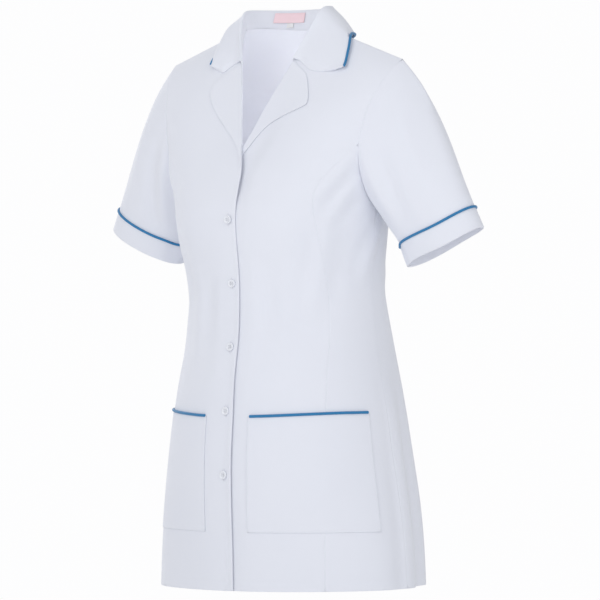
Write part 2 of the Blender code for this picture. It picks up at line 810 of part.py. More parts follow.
CLOUD_POINTS, CLOUD_NORMALS = shoulder_cloud()
NECK_SEAM = np.vstack([spline([GORGE_POINT, NECK_FRONT, NECK_POINT], 16),
                       spline([NECK_POINT, *NECK_BACK], 16)])


def held_clear(point, clear):
    """A point moved out until it stands clear of the shoulder by the stated amount."""
    if point[0] < 0:
        return mirrored(held_clear(mirrored(point), clear))
    for _ in range(3):
        nearest = int(np.argmin(np.sum((CLOUD_POINTS - point) ** 2, axis=1)))
        normal = CLOUD_NORMALS[nearest]
        height = float(np.dot(point - CLOUD_POINTS[nearest], normal))
        if height < clear:
            point = point + normal * (clear - height)
    return point


def collar_section(fold, edge, first, draw=0.0, roll=0.0):
    """Face points of the collar at one station, from the neck seam over the fold to the leaf edge."""
    edge = held_clear(edge + unit(fold - edge) * draw, LEAF_CLEAR)
    distances = np.linalg.norm(NECK_SEAM - fold, axis=1)
    base = NECK_SEAM[int(np.argmin(distances))]
    base = base + unit(np.array(NECK_AIM) - base) * (FIRST_SEAM_GAP if first else STAND_SEAM_GAP)
    height = max(np.linalg.norm(fold - base), MIN_STAND)
    up = unit(fold - base)
    out = unit(np.array([edge[0] - fold[0], edge[1] - fold[1], 0.0]))
    out = unit(out - np.dot(out, up) * up)
    top = base + up * (height - FOLD_RADIUS)
    section = [base, (base + top) / 2, top]
    section.append(base + up * height + out * FOLD_RADIUS)
    turned = top + out * 2.1 * FOLD_RADIUS
    section.append(turned)
    if first:
        gorge = [(COLLAR_GORGE_ROLL + (COLLAR_GORGE_EDGE - COLLAR_GORGE_ROLL) * t, reach)
                 for t, reach in ((0.35, 0.35), (0.7, 0.7), (1.0, 1.0))]
        reach = LAPEL_EDGE[-1][2]
        points = [with_bust(along(upper_row(share), reach * part)) for share, part in gorge]
        notch = points[-1]
        points += [notch + (edge - notch) * 0.5 + (out + np.array([0.0, 0.0, 1.0])) * roll / 2, edge]
        section += [held_clear(point, LEAF_CLEAR) for point in points]
        return section
    for k in range(1, LEAF_SPLITS + 1):
        t = k / LEAF_SPLITS
        bow = LEAF_BOW * math.sin(math.pi * t) + roll * math.sin(math.pi * t * t)
        point = turned + (edge - turned) * t + (out + np.array([0.0, 0.0, 1.0])) * bow
        section.append(held_clear(point, LEAF_CLEAR))
    return section


def collar_sections():
    """Sections of the whole collar from the wearer's left gorge round the back to the right."""
    folds = spline([station[:3] for station in COLLAR_STATIONS], STATION_STEPS)
    edges = spline([station[3:6] for station in COLLAR_STATIONS], STATION_STEPS)
    places = np.linspace(0, len(COLLAR_STATIONS) - 1, len(folds))
    draws = np.interp(places, range(len(COLLAR_STATIONS)), [station[6] for station in COLLAR_STATIONS])
    rolls = np.interp(places, range(len(COLLAR_STATIONS)), [station[7] for station in COLLAR_STATIONS])
    left = [collar_section(fold, edge, k == 0) for k, (fold, edge) in enumerate(zip(folds, edges))]
    right = [collar_section(folds[k], edges[k], k == 0, draws[k], rolls[k]) for k in range(len(folds))]
    return left + [[mirrored(point) for point in section] for section in right[-2::-1]]


def collar_rows(sections):
    """Rows round the neck from the sections across it."""
    return [[section[k] for section in sections] for k in range(len(sections[0]))]


# Pieces

def both_sides(rows):
    """A left grid and its mirror image."""
    return rows, [[mirrored(point) for point in row] for row in rows]


def body_sheets():
    """Sheets of the panels and sleeves, whose shared seams give shared directions."""
    front, front_mirror = both_sides(front_grid())
    side, side_mirror = both_sides(side_front_grid())
    back, back_mirror = both_sides(back_grid())
    sleeve, sleeve_mirror = both_sides(sleeve_grid())
    sheets = {name: Sheet(name, "white_cloth") for name in (
        "front_left", "front_right", "side_front_left", "side_front_right", "back",
        "sleeve_left", "sleeve_right")}
    sheets["front_left"].add_grid(front)
    sheets["front_right"].add_grid(front_mirror, flip=True)
    sheets["side_front_left"].add_grid(side)
    sheets["side_front_right"].add_grid(side_mirror, flip=True)
    sheets["back"].add_grid(back, flip=True)
    sheets["back"].add_grid(back_mirror)
    sheets["sleeve_left"].add_grid(sleeve, closed=True)
    sheets["sleeve_right"].add_grid(sleeve_mirror, closed=True, flip=True)
    return sheets, front, side


def build_body(sheets, front, normals):
    """The panels and sleeves, with the left front's edge tucked under the right one."""
    for name, sheet in sheets.items():
        if name != "front_left":
            build_wall(sheet, normals)
    tucked = Sheet("front_left", "white_cloth")
    tucked.add_grid(tuck(front))
    own = weld_normals([tucked])
    moved = {}
    for flat_row, tuck_row in zip(front, tuck(front)):
        for flat_point, tuck_point in zip(flat_row, tuck_row):
            flat_key = tuple(np.round(flat_point, 3))
            tuck_key = tuple(np.round(tuck_point, 3))
            moved[tuck_key] = normals[flat_key] if flat_key == tuck_key else own[tuck_key]
    build_wall(tucked, moved)


def build_cuffs():
    """Cuff bands and the piping above them."""
    axis, outward, forward = sleeve_axes()
    for side, rows in zip(("left", "right"), both_sides(cuff_grid())):
        band = Sheet("cuff_" + side, "white_cloth", wall=CUFF_WALL)
        band.add_grid(rows, closed=True, flip=side == "right")
        build_wall(band, weld_normals([band]))
        path = []
        for _, turn in sleeve_columns():
            direction = unit(outward * math.cos(turn) / CUFF_HALF_WIDTH
                             + forward * math.sin(turn) / CUFF_HALF_DEPTH)
            point = cuff_ring_point(turn, CUFF_DEPTH, CUFF_PROUD) + direction * (PIPING_RADIUS + GAP)
            path.append((point, direction))
        if side == "right":
            path = [(mirrored(point), mirrored(direction)) for point, direction in path][::-1]
        tube("cuff_piping_" + side, path, True, "blue_piping")


def build_lapels():
    """The two turned-back revers, on the fronts."""
    left = Sheet("lapel_left", "white_cloth", lift=LAPEL_LIFT)
    left.add_grid(lapel_grid(True))
    build_wall(left, weld_normals([left]))
    right = Sheet("lapel_right", "white_cloth", lift=LAPEL_LIFT)
    right.add_grid([[mirrored(point) for point in row] for row in lapel_grid(False)], flip=True)
    build_wall(right, weld_normals([right]))


def build_collar(sections):
    """The collar and the piping along its leaf's outer edge."""
    collar = Sheet("collar", "white_cloth")
    collar.add_grid(collar_rows(sections))
    normals = weld_normals([collar])
    build_wall(collar, normals)
    path = []
    for section in sections:
        edge = section[-1]
        outward = unit(edge - section[-2])
        up = unit(np.sum(normals[tuple(np.round(edge, 3))], axis=0))
        middle = edge - up * WALL / 2
        centre = held_clear(middle + outward * (PIPING_RADIUS + 2 * GAP), PIPING_CLEAR)
        turned = max(1.0 - float(np.dot(unit(centre - middle), outward)), 0.0)
        reach = PIPING_RADIUS + 2 * GAP + TURNED_PIPING_ROOM * min(turned / 0.04, 1.0)
        path.append((held_clear(middle + unit(centre - middle) * reach, PIPING_CLEAR), up))
    tube("collar_piping", path, False, "blue_piping")


def pocket_rows(front, side):
    """Grid of the left pocket, taken from the panels' own points."""
    first = len(FRONT_SHARES) - 1 + BODY_ROWS.index(POCKET_TOP_Z)
    last = len(FRONT_SHARES) - 1 + BODY_ROWS.index(POCKET_BOTTOM_Z)
    side_offset = len(front) - len(side)
    rows = []
    for k in range(first, last + 1):
        rows.append(front[k][POCKET_FIRST_SPLIT:] + side[k - side_offset][1:POCKET_LAST_SPLIT + 1])
    return rows


def build_pockets(front, side, normals):
    """Patch pockets on the panels, and the piping on their tops."""
    for name, rows in zip(("left", "right"), both_sides(pocket_rows(front, side))):
        pocket = Sheet("pocket_" + name, "white_cloth", lift=GAP)
        pocket.add_grid(rows, flip=name == "right")
        build_wall(pocket, normals)
        path = []
        for point in rows[0]:
            normal = wall_normal(normals[tuple(np.round(point, 3))])
            rise = np.array([0.0, 0.0, PIPING_RADIUS + GAP / 2])
            path.append((point + normal * (PIPING_RADIUS + GAP) + rise, unit(normal)))
        if name == "right":
            path = path[::-1]
        tube("pocket_piping_" + name, path, False, "blue_piping")


def button_profile():
    """Half outline of a button: distance from its axis and height over its back."""
    rim = 0.7
    return (
        (BUTTON_RADIUS * 0.93, 0.0),
        (BUTTON_RADIUS, BUTTON_THICKNESS * 0.45),
        (BUTTON_RADIUS * 0.97, BUTTON_THICKNESS * 0.85),
        (BUTTON_RADIUS - rim, BUTTON_THICKNESS),
        (BUTTON_RADIUS - 2 * rim, BUTTON_THICKNESS * 0.72),
    )


def build_buttons(front):
    """Round buttons down the centre front, on the right front's upper side."""
    sides = 16
    lower = front[len(FRONT_SHARES) - 2:]
    for number in range(BUTTON_COUNT):
        z = BUTTON_TOP_Z - number * BUTTON_SPACING
        k = max(i for i in range(len(lower) - 1) if lower[i][0][2] >= z)
        t = (lower[k][0][2] - z) / (lower[k][0][2] - lower[k + 1][0][2])
        above = (lower[k][0] + lower[k][1]) / 2
        below = (lower[k + 1][0] + lower[k + 1][1]) / 2
        centre = mirrored(above + (below - above) * t)
        down = unit(below - above)
        across = np.array([1.0, 0.0, 0.0])
        normal = unit(np.cross(down, across))
        if normal[1] > 0:
            normal = -normal
        centre = centre + normal * (GAP + BUTTON_LIFT)
        points = []
        for radius, height in button_profile():
            for s in range(sides):
                angle = 2 * math.pi * s / sides
                around = radius * (math.cos(angle) * across - math.sin(angle) * down)
                points.append(centre + around + height * normal)
        faces = []
        rings = len(button_profile())
        for r in range(rings - 1):
            for s in range(sides):
                n = (s + 1) % sides
                faces.append([r * sides + s, r * sides + n, (r + 1) * sides + n, (r + 1) * sides + s])
        faces.append(list(range(sides))[::-1])
        faces.append([(rings - 1) * sides + s for s in range(sides)])
        make_object(f"button_{number + 1}", points, faces, "button_white")


def stand_point(sections, x, z):
    """Point on the neck side of the collar's stand, behind the shoulder seams."""
    line = []
    for section in sections[::-1]:
        t = (z - section[0][2]) / (section[2][2] - section[0][2])
        point = section[0] + (section[2] - section[0]) * t
        if point[1] > 0:
            line.append(point)
    line = np.array(line)
    return np.array([x, np.interp(x, line[:, 0], line[:, 1]), z])


def build_label(sections):
    """The woven label on the stand's neck side and the small tab below it, both bare."""
    for name, finish, half_width, top, bottom in (
            ("neck_label", "label_pink", LABEL_HALF_WIDTH, LABEL_TOP_Z, LABEL_BOTTOM_Z),
            ("size_tab", "tab_white", TAB_HALF_WIDTH, LABEL_BOTTOM_Z, TAB_BOTTOM_Z)):
        rows = [[stand_point(sections, LABEL_X - half_width * side, z) for side in np.linspace(-1, 1, 7)]
                for z in (bottom, top)]
        sheet = Sheet(name, finish, wall=LABEL_WALL, lift=LABEL_LIFT)
        sheet.add_grid(rows)
        build_wall(sheet, weld_normals([sheet]))


def main():
    """Clear the scene and build every piece."""
    for piece in list(bpy.data.objects):
        bpy.data.objects.remove(piece, do_unlink=True)
    sheets, front, side = body_sheets()
    normals = weld_normals(list(sheets.values()))
    build_body(sheets, front, normals)
    build_cuffs()
    build_lapels()
    sections = collar_sections()
    build_collar(sections)
    build_pockets(front, side, normals)
    build_buttons(front)
    build_label(sections)


main()
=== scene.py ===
"""Looks of the nurse uniform dress: cloth with its folds, piping, buttons, stitching, label and studio.

Every soft piece is a smooth, subdivided shell on the form of its own solid. One Drape moves the cloth and all
that lies on it by the same folds, so that piping, pockets, buttons and stitches stay on their panels.
Lengths are metres in the wearer's frame: -Y is the front, +X the wearer's left and +Z up.
"""
import json
import logging
import math
from dataclasses import dataclass
from enum import Enum

import bmesh
import bpy
import numpy as np
from mathutils import Matrix, Vector
from mathutils.bvhtree import BVHTree

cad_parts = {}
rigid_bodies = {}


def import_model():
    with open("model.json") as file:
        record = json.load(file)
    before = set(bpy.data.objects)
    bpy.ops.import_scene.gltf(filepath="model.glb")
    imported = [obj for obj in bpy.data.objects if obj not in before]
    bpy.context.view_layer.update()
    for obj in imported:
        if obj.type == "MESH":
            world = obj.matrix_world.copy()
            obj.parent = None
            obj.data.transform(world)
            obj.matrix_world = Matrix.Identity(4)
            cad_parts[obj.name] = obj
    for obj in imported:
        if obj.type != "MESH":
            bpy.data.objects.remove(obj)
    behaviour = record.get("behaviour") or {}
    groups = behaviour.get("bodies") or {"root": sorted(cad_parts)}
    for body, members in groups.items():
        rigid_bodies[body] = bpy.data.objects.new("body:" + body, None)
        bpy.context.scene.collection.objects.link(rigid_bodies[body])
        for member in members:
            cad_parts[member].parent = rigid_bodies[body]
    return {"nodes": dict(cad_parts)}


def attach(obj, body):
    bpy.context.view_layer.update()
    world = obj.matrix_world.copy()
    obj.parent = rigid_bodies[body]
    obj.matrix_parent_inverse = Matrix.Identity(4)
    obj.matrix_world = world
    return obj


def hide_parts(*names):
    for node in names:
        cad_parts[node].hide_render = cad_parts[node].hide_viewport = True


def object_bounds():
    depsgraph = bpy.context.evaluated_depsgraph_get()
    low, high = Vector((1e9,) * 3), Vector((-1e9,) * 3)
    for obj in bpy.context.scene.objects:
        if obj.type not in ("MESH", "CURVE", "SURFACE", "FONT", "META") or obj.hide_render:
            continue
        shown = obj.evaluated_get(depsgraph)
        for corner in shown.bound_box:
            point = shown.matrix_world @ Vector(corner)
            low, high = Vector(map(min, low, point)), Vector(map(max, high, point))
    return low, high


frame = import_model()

logging.basicConfig(level=logging.INFO, format="%(levelname)s %(message)s")
log = logging.getLogger("nurse_dress")

CAD_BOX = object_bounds()
MM = 0.001


class Slot(Enum):
    """Material slots of the record."""

    CLOTH = "white_cloth"
    PIPING = "blue_piping"
    BUTTON = "button_white"
    LABEL = "label_pink"
    TAB = "tab_white"


class Side(Enum):
    """The wearer's two sides, with the sign of X on each."""

    LEFT = 1
    RIGHT = -1

    @property
    def word(self) -> str:
        """The side as it stands in node names."""
        return self.name.lower()


# Finishes

def new_material(name: str) -> tuple[bpy.types.Material, bpy.types.NodeTree, bpy.types.Node]:
    """Make a node material.

    Args:
        name: name of the material.

    Returns:
        The material, its node tree and its Principled shader.
    """
    made = bpy.data.materials.new(name)
    made.use_nodes = True
    return made, made.node_tree, made.node_tree.nodes["Principled BSDF"]


class Wiring:
    """Short ways to add and join shader nodes in one tree."""

    def __init__(self, tree: bpy.types.NodeTree) -> None:
        """Keep the tree that nodes are added to."""
        self.tree = tree

    def add(self, kind: str, **settings: object) -> bpy.types.Node:
        """Add a node.

        Args:
            kind: type of the node, without its ShaderNode prefix.
            settings: attributes of the node.

        Returns:
            The new node.
        """
        node = self.tree.nodes.new("ShaderNode" + kind)
        for name, value in settings.items():
            setattr(node, name, value)
        return node

    def join(self, out: bpy.types.NodeSocket, into: bpy.types.NodeSocket) -> None:
        """Link an output to an input."""
        self.tree.links.new(out, into)

    def math(self, operation: str, first: object, second: object = 0.0) -> bpy.types.NodeSocket:
        """Add a Math node on sockets or numbers.

        Args:
            operation: the node's operation.
            first: first socket or number.
            second: second socket or number.

        Returns:
            The node's output.
        """
        node = self.add("Math", operation=operation)
        for socket, value in zip(node.inputs, (first, second)):
            if isinstance(value, (int, float)):
                socket.default_value = value
            else:
                self.join(value, socket)
        return node.outputs[0]

    def ramp(self, factor: bpy.types.NodeSocket, low: tuple, high: tuple) -> bpy.types.NodeSocket:
        """Mix two colours by a factor.

        Args:
            factor: socket from 0 to 1.
            low: colour at 0.
            high: colour at 1.

        Returns:
            The colour output.
        """
        node = self.add("Mix", data_type="RGBA")
        self.join(factor, node.inputs["Factor"])
        node.inputs[6].default_value = (*low, 1.0)
        node.inputs[7].default_value = (*high, 1.0)
        return node.outputs[2]

    def noise(self, scale: float, detail: float = 2.0) -> bpy.types.NodeSocket:
        """Noise on Object coordinates.

        Args:
            scale: size of the noise, larger is finer.
            detail: levels of finer noise.

        Returns:
            The noise's factor.
        """
        place = self.add("TexCoord")
        node = self.add("TexNoise")
        node.inputs["Scale"].default_value = scale
        node.inputs["Detail"].default_value = detail
        self.join(place.outputs["Object"], node.inputs["Vector"])
        return node.outputs["Fac"]

    def thread(self, axis: str, pitch: float) -> bpy.types.NodeSocket:
        """Rounded threads across one direction of the piece's own UV map, which is in metres.

        Args:
            axis: U or V.
            pitch: distance between threads in metres.

        Returns:
            Height of the threads, from 0 to 1.
        """
        uv = self.add("UVMap", uv_map="cloth")
        parts = self.add("SeparateXYZ")
        self.join(uv.outputs["UV"], parts.inputs["Vector"])
        along = parts.outputs["X" if axis == "U" else "Y"]
        wave = self.math("SINE", self.math("MULTIPLY", along, 2 * math.pi / pitch))
        return self.math("ADD", self.math("MULTIPLY", wave, 0.5), 0.5)


@dataclass(frozen=True)
class WovenFinish:
    """A plain or slightly ribbed weave with worn colour and fine creases."""

    name: str
    colour: tuple[float, float, float]
    shade: tuple[float, float, float]
    pitch: float = 0.42 * MM
    weave_depth: float = 0.05 * MM
    crumple_depth: float = 0.35 * MM
    roughness: float = 0.82
    sheen: float = 0.25

    def material(self) -> bpy.types.Material:
        """Build the material, or find it if it has been built."""
        known = bpy.data.materials.get(self.name)
        if known:
            return known
        made, tree, shader = new_material(self.name)
        wiring = Wiring(tree)
        patches = wiring.noise(7.0, 4.0)
        warp = wiring.thread("U", self.pitch)
        weft = wiring.thread("V", self.pitch)
        weave = wiring.math("MULTIPLY", warp, weft)
        tone = wiring.math("ADD", wiring.math("MULTIPLY", patches, 0.8), wiring.math("MULTIPLY", weave, 0.2))
        wiring.join(wiring.ramp(tone, self.shade, self.colour), shader.inputs["Base Color"])
        shader.inputs["Roughness"].default_value = self.roughness
        shader.inputs["Sheen Weight"].default_value = self.sheen
        shader.inputs["Sheen Roughness"].default_value = 0.6
        shader.inputs["Specular IOR Level"].default_value = 0.3
        crumple = wiring.noise(38.0, 5.0)
        coarse = wiring.add("Bump")
        coarse.inputs["Strength"].default_value = 0.35
        coarse.inputs["Distance"].default_value = self.crumple_depth
        wiring.join(crumple, coarse.inputs["Height"])
        fine = wiring.add("Bump")
        fine.inputs["Strength"].default_value = 0.6
        fine.inputs["Distance"].default_value = self.weave_depth
        wiring.join(weave, fine.inputs["Height"])
        wiring.join(coarse.outputs["Normal"], fine.inputs["Normal"])
        wiring.join(fine.outputs["Normal"], shader.inputs["Normal"])
        return made


@dataclass(frozen=True)
class BiasFinish:
    """Bias-cut binding over a cord: fine diagonal threads along the piece's own map."""

    name: str
    colour: tuple[float, float, float]
    shade: tuple[float, float, float]
    pitch: float = 0.5 * MM

    def material(self) -> bpy.types.Material:
        """Build the material, or find it if it has been built."""
        known = bpy.data.materials.get(self.name)
        if known:
            return known
        made, tree, shader = new_material(self.name)
        wiring = Wiring(tree)
        path = wiring.add("Attribute", attribute_name="cord_place")
        parts = wiring.add("SeparateXYZ")
        wiring.join(path.outputs["Vector"], parts.inputs["Vector"])
        lengthwise = wiring.math("MULTIPLY", parts.outputs["X"], 2 * math.pi / self.pitch)
        around = wiring.math("MULTIPLY", parts.outputs["Y"], 2 * math.pi * 16)
        one = wiring.math("SINE", wiring.math("ADD", lengthwise, around))
        two = wiring.math("SINE", wiring.math("SUBTRACT", lengthwise, around))
        threads = wiring.math("ADD", wiring.math("MULTIPLY", wiring.math("MULTIPLY", one, two), 0.5), 0.5)
        patches = wiring.noise(60.0, 3.0)
        tone = wiring.math("MULTIPLY", wiring.math("ADD", threads, patches), 0.5)
        wiring.join(wiring.ramp(tone, self.shade, self.colour), shader.inputs["Base Color"])
        shader.inputs["Roughness"].default_value = 0.65
        shader.inputs["Sheen Weight"].default_value = 0.2
        bump = wiring.add("Bump")
        bump.inputs["Strength"].default_value = 0.5
        bump.inputs["Distance"].default_value = 0.06 * MM
        wiring.join(threads, bump.inputs["Height"])
        wiring.join(bump.outputs["Normal"], shader.inputs["Normal"])
        return made


@dataclass(frozen=True)
class PlainFinish:
    """A smooth solid such as moulded plastic, thread or a painted floor, with slight mottling."""

    name: str
    colour: tuple[float, float, float]
    shade: tuple[float, float, float]
    roughness: float = 0.4
    coat: float = 0.0
    grain: float = 300.0
    grain_depth: float = 0.01 * MM

    def material(self) -> bpy.types.Material:
        """Build the material, or find it if it has been built."""
        known = bpy.data.materials.get(self.name)
        if known:
            return known
        made, tree, shader = new_material(self.name)
        wiring = Wiring(tree)
        grain = wiring.noise(self.grain, 3.0)
        wiring.join(wiring.ramp(grain, self.shade, self.colour), shader.inputs["Base Color"])
        shader.inputs["Roughness"].default_value = self.roughness
        shader.inputs["Coat Weight"].default_value = self.coat
        bump = wiring.add("Bump")
        bump.inputs["Strength"].default_value = 0.3
        bump.inputs["Distance"].default_value = self.grain_depth
        wiring.join(grain, bump.inputs["Height"])
        wiring.join(bump.outputs["Normal"], shader.inputs["Normal"])
        return made


CLOTH = WovenFinish("white_poplin", (0.795, 0.812, 0.880), (0.760, 0.782, 0.860))
LABEL = WovenFinish("pink_label_weave", (0.86, 0.60, 0.66), (0.90, 0.72, 0.76), pitch=0.5 * MM, crumple_depth=0.1 * MM)
TAB = WovenFinish("white_tape", (0.82, 0.82, 0.83), (0.76, 0.76, 0.78), pitch=0.5 * MM, crumple_depth=0.1 * MM)
PIPING = BiasFinish("azure_binding", (0.014, 0.212, 0.465), (0.008, 0.146, 0.345))
THREAD = PlainFinish("white_thread", (0.84, 0.85, 0.89), (0.74, 0.76, 0.82), 0.6, grain=900.0)
BUTTON = PlainFinish("pearl_white_button", (0.82, 0.84, 0.89), (0.78, 0.80, 0.86), 0.28, coat=0.25, grain=180.0)


@dataclass(frozen=True)
class FloorFinish:
    """A pale floor that fades into the white backdrop away from the garment."""

    name: str = "pale_floor"
    colour: tuple[float, float, float] = (0.93, 0.93, 0.93)
    near: float = 1.2
    far: float = 2.9
    glow: float = 0.46

    def material(self) -> bpy.types.Material:
        """Build the material."""
        made, tree, shader = new_material(self.name)
        wiring = Wiring(tree)
        place = wiring.add("TexCoord")
        distance = wiring.add("VectorMath", operation="LENGTH")
        wiring.join(place.outputs["Object"], distance.inputs[0])
        fade = wiring.add("MapRange", interpolation_type="SMOOTHSTEP")
        wiring.join(distance.outputs["Value"], fade.inputs["Value"])
        for socket, value in (("From Min", self.near), ("From Max", self.far), ("To Max", self.glow)):
            fade.inputs[socket].default_value = value
        shader.inputs["Base Color"].default_value = (*self.colour, 1.0)
        shader.inputs["Roughness"].default_value = 0.9
        shader.inputs["Emission Color"].default_value = (1.0, 1.0, 1.0, 1.0)
        wiring.join(fade.outputs["Result"], shader.inputs["Emission Strength"])
        return made


FLOOR = FloorFinish()


# Folds

@dataclass(frozen=True)
class Fold:
    """A crease in the cloth, from one place to another, pushed outwards or inwards."""

    start: tuple[float, float, float]
    end: tuple[float, float, float]
    width: float
    depth: float
    push: tuple[float, float, float]
    valley: float = 0.45
    bow: float = 0.0

    def moves(self, points: np.ndarray) -> np.ndarray:
        """Work out how the fold moves points.

        Args:
            points: places in metres, one a row.

        Returns:
            Moves in metres, one a row.
        """
        start = np.array(self.start)
        line = np.array(self.end) - start
        length = float(np.linalg.norm(line))
        along = line / length
        push = np.array(self.push, float)
        push = push - np.dot(push, along) * along
        push /= np.linalg.norm(push)
        across = np.cross(along, push)
        away = points - start
        t = away @ along / length
        s = (away @ across - self.bow * np.sin(math.pi * np.clip(t, 0, 1))) / self.width
        deep = np.clip(1.0 - np.abs(away @ push) / (70 * MM), 0.0, 1.0)
        taper = np.sin(math.pi * np.clip(t, 0, 1)) ** 0.8
        shape = np.exp(-s * s) - self.valley * np.exp(-(np.abs(s) - 1.7) ** 2 / 0.8)
        return np.outer(self.depth * taper * shape * np.minimum(deep * 3, 1.0), push)


FRONT_PUSH = (0.2, -1.0, 0.0)
FOLDS = (
    # Slack from the bust to the waist on the wearer's left, and its pair on the right
    Fold((0.128, -0.060, -0.250), (0.105, -0.080, -0.400), 0.013, 0.0030, (0.55, -0.85, 0.0)),
    Fold((0.095, -0.100, -0.285), (0.080, -0.100, -0.455), 0.017, 0.0022, FRONT_PUSH, bow=0.004),
    Fold((0.050, -0.112, -0.300), (0.062, -0.110, -0.430), 0.014, -0.0014, FRONT_PUSH),
    Fold((-0.125, -0.060, -0.245), (-0.100, -0.085, -0.385), 0.014, 0.0030, (-0.55, -0.85, 0.0)),
    Fold((-0.080, -0.105, -0.300), (-0.070, -0.105, -0.470), 0.016, 0.0020, (-0.2, -1.0, 0.0), bow=-0.004),
    Fold((-0.040, -0.112, -0.320), (-0.048, -0.112, -0.420), 0.012, -0.0012, (-0.2, -1.0, 0.0)),
    # Drag lines from the armpits towards the bust
    Fold((0.160, -0.046, -0.170), (0.118, -0.088, -0.236), 0.010, 0.0024, (0.6, -0.8, 0.0)),
    Fold((0.159, -0.036, -0.200), (0.126, -0.076, -0.268), 0.009, 0.0026, (0.6, -0.8, 0.0)),
    Fold((-0.160, -0.046, -0.168), (-0.112, -0.090, -0.228), 0.010, 0.0026, (-0.6, -0.8, 0.0)),
    Fold((-0.158, -0.036, -0.196), (-0.120, -0.080, -0.262), 0.009, 0.0022, (-0.6, -0.8, 0.0)),
    # Back: drags above the waist, slack under the shoulder blades, and flutes that fall to the hem
    Fold((0.128, 0.070, -0.322), (-0.045, 0.122, -0.376), 0.014, 0.0066, (0.1, 1.0, 0.25), bow=0.008),
    Fold((-0.130, 0.068, -0.300), (0.030, 0.120, -0.345), 0.012, 0.0058, (-0.1, 1.0, 0.25), bow=-0.006),
    Fold((-0.110, 0.080, -0.372), (-0.010, 0.118, -0.392), 0.010, 0.0042, (-0.1, 1.0, 0.25)),
    Fold((0.066, 0.112, -0.235), (0.074, 0.118, -0.400), 0.017, -0.0052, (0.3, 1.0, 0.0), bow=0.005),
    Fold((-0.058, 0.112, -0.215), (-0.070, 0.118, -0.385), 0.015, -0.0046, (-0.3, 1.0, 0.0), bow=-0.004),
    Fold((0.152, 0.048, -0.150), (0.070, 0.106, -0.238), 0.015, 0.0062, (0.6, 0.8, 0.0), bow=0.005),
    Fold((-0.154, 0.048, -0.138), (-0.066, 0.106, -0.212), 0.016, 0.0068, (-0.6, 0.8, 0.0), bow=-0.004),
    Fold((-0.156, 0.040, -0.185), (-0.090, 0.096, -0.262), 0.011, 0.0040, (-0.6, 0.8, 0.0)),
    Fold((0.125, 0.070, -0.078), (0.050, 0.098, -0.114), 0.018, 0.0042, (0.3, 0.9, 0.3)),
    Fold((-0.118, 0.070, -0.074), (-0.055, 0.098, -0.104), 0.016, 0.0034, (-0.3, 0.9, 0.3)),
    Fold((0.050, 0.135, -0.440), (0.088, 0.155, -0.930), 0.020, 0.0058, (0.3, 1.0, 0.0)),
    Fold((-0.020, 0.138, -0.470), (-0.030, 0.165, -0.960), 0.024, -0.0052, (0.0, 1.0, 0.0)),
    Fold((-0.084, 0.130, -0.430), (-0.118, 0.150, -0.900), 0.018, 0.0066, (-0.4, 1.0, 0.0)),
    # Side seams: a soft ridge in front and a fall behind it
    Fold((0.166, 0.024, -0.450), (0.190, 0.030, -0.960), 0.012, 0.0034, (0.95, -0.2, 0.0)),
    Fold((0.168, 0.056, -0.450), (0.190, 0.064, -0.960), 0.016, -0.0050, (0.9, 0.4, 0.0)),
    Fold((-0.166, 0.024, -0.470), (-0.188, 0.030, -0.940), 0.013, 0.0030, (-0.95, -0.2, 0.0)),
    Fold((-0.168, 0.058, -0.440), (-0.188, 0.066, -0.960), 0.015, -0.0044, (-0.9, 0.4, 0.0)),
    # Sides of the body below the armpits
    Fold((0.150, 0.020, -0.255), (0.142, -0.010, -0.345), 0.011, 0.0030, (1.0, 0.0, 0.0), bow=0.004),
    Fold((-0.152, 0.015, -0.250), (-0.140, 0.000, -0.335), 0.012, 0.0028, (-1.0, 0.0, 0.0), bow=-0.004),
    # Sleeves: long soft pulls from the shoulder and the armpit to the cuff
    Fold((0.200, -0.025, -0.080), (0.262, -0.018, -0.240), 0.015, 0.0022, (0.45, -0.85, 0.2), bow=0.005),
    Fold((0.172, -0.045, -0.130), (0.220, -0.028, -0.270), 0.012, -0.0024, (0.0, -1.0, 0.1), bow=-0.004),
    Fold((0.165, -0.048, -0.165), (0.205, -0.020, -0.285), 0.011, 0.0026, (-0.2, -1.0, 0.0)),
    Fold((0.215, 0.040, -0.090), (0.275, 0.045, -0.235), 0.016, 0.0028, (0.5, 0.8, 0.2)),
    Fold((0.175, 0.062, -0.140), (0.225, 0.056, -0.270), 0.013, -0.0028, (0.0, 1.0, 0.1)),
    Fold((-0.200, -0.025, -0.075), (-0.262, -0.018, -0.235), 0.015, 0.0024, (-0.45, -0.85, 0.2), bow=-0.005),
    Fold((-0.172, -0.045, -0.120), (-0.218, -0.026, -0.262), 0.012, -0.0030, (0.0, -1.0, 0.1), bow=0.004),
    Fold((-0.166, -0.048, -0.155), (-0.200, -0.018, -0.280), 0.011, 0.0034, (0.2, -1.0, 0.0)),
    Fold((-0.215, 0.040, -0.085), (-0.272, 0.045, -0.230), 0.016, 0.0026, (-0.5, 0.8, 0.2)),
    Fold((-0.178, 0.062, -0.130), (-0.228, 0.056, -0.262), 0.013, -0.0026, (0.0, 1.0, 0.1)),
)


@dataclass(frozen=True)
class Nudge:
    """A soft shift of whatever lies round one place."""

    centre: tuple[float, float, float]
    radius: float
    shift: tuple[float, float, float]

    def moves(self, points: np.ndarray) -> np.ndarray:
        """Work out how the nudge moves points.

        Args:
            points: places in metres, one a row.

        Returns:
            Moves in metres, one a row.
        """
        away = np.linalg.norm(points - np.array(self.centre), axis=1) / self.radius
        return np.outer(np.exp(-away * away), self.shift)


# The left collar end hangs a little lower than the pattern would have it
NUDGES = (
    Nudge((0.108, -0.044, -0.056), 0.034, (0.0004, -0.0022, -0.0058)),
    # The left cuff dips towards the front
    Nudge((0.272, -0.022, -0.278), 0.046, (0.0026, -0.0006, -0.0056)),
    Nudge((0.258, 0.062, -0.290), 0.046, (-0.0012, 0.0, 0.0030)),
)


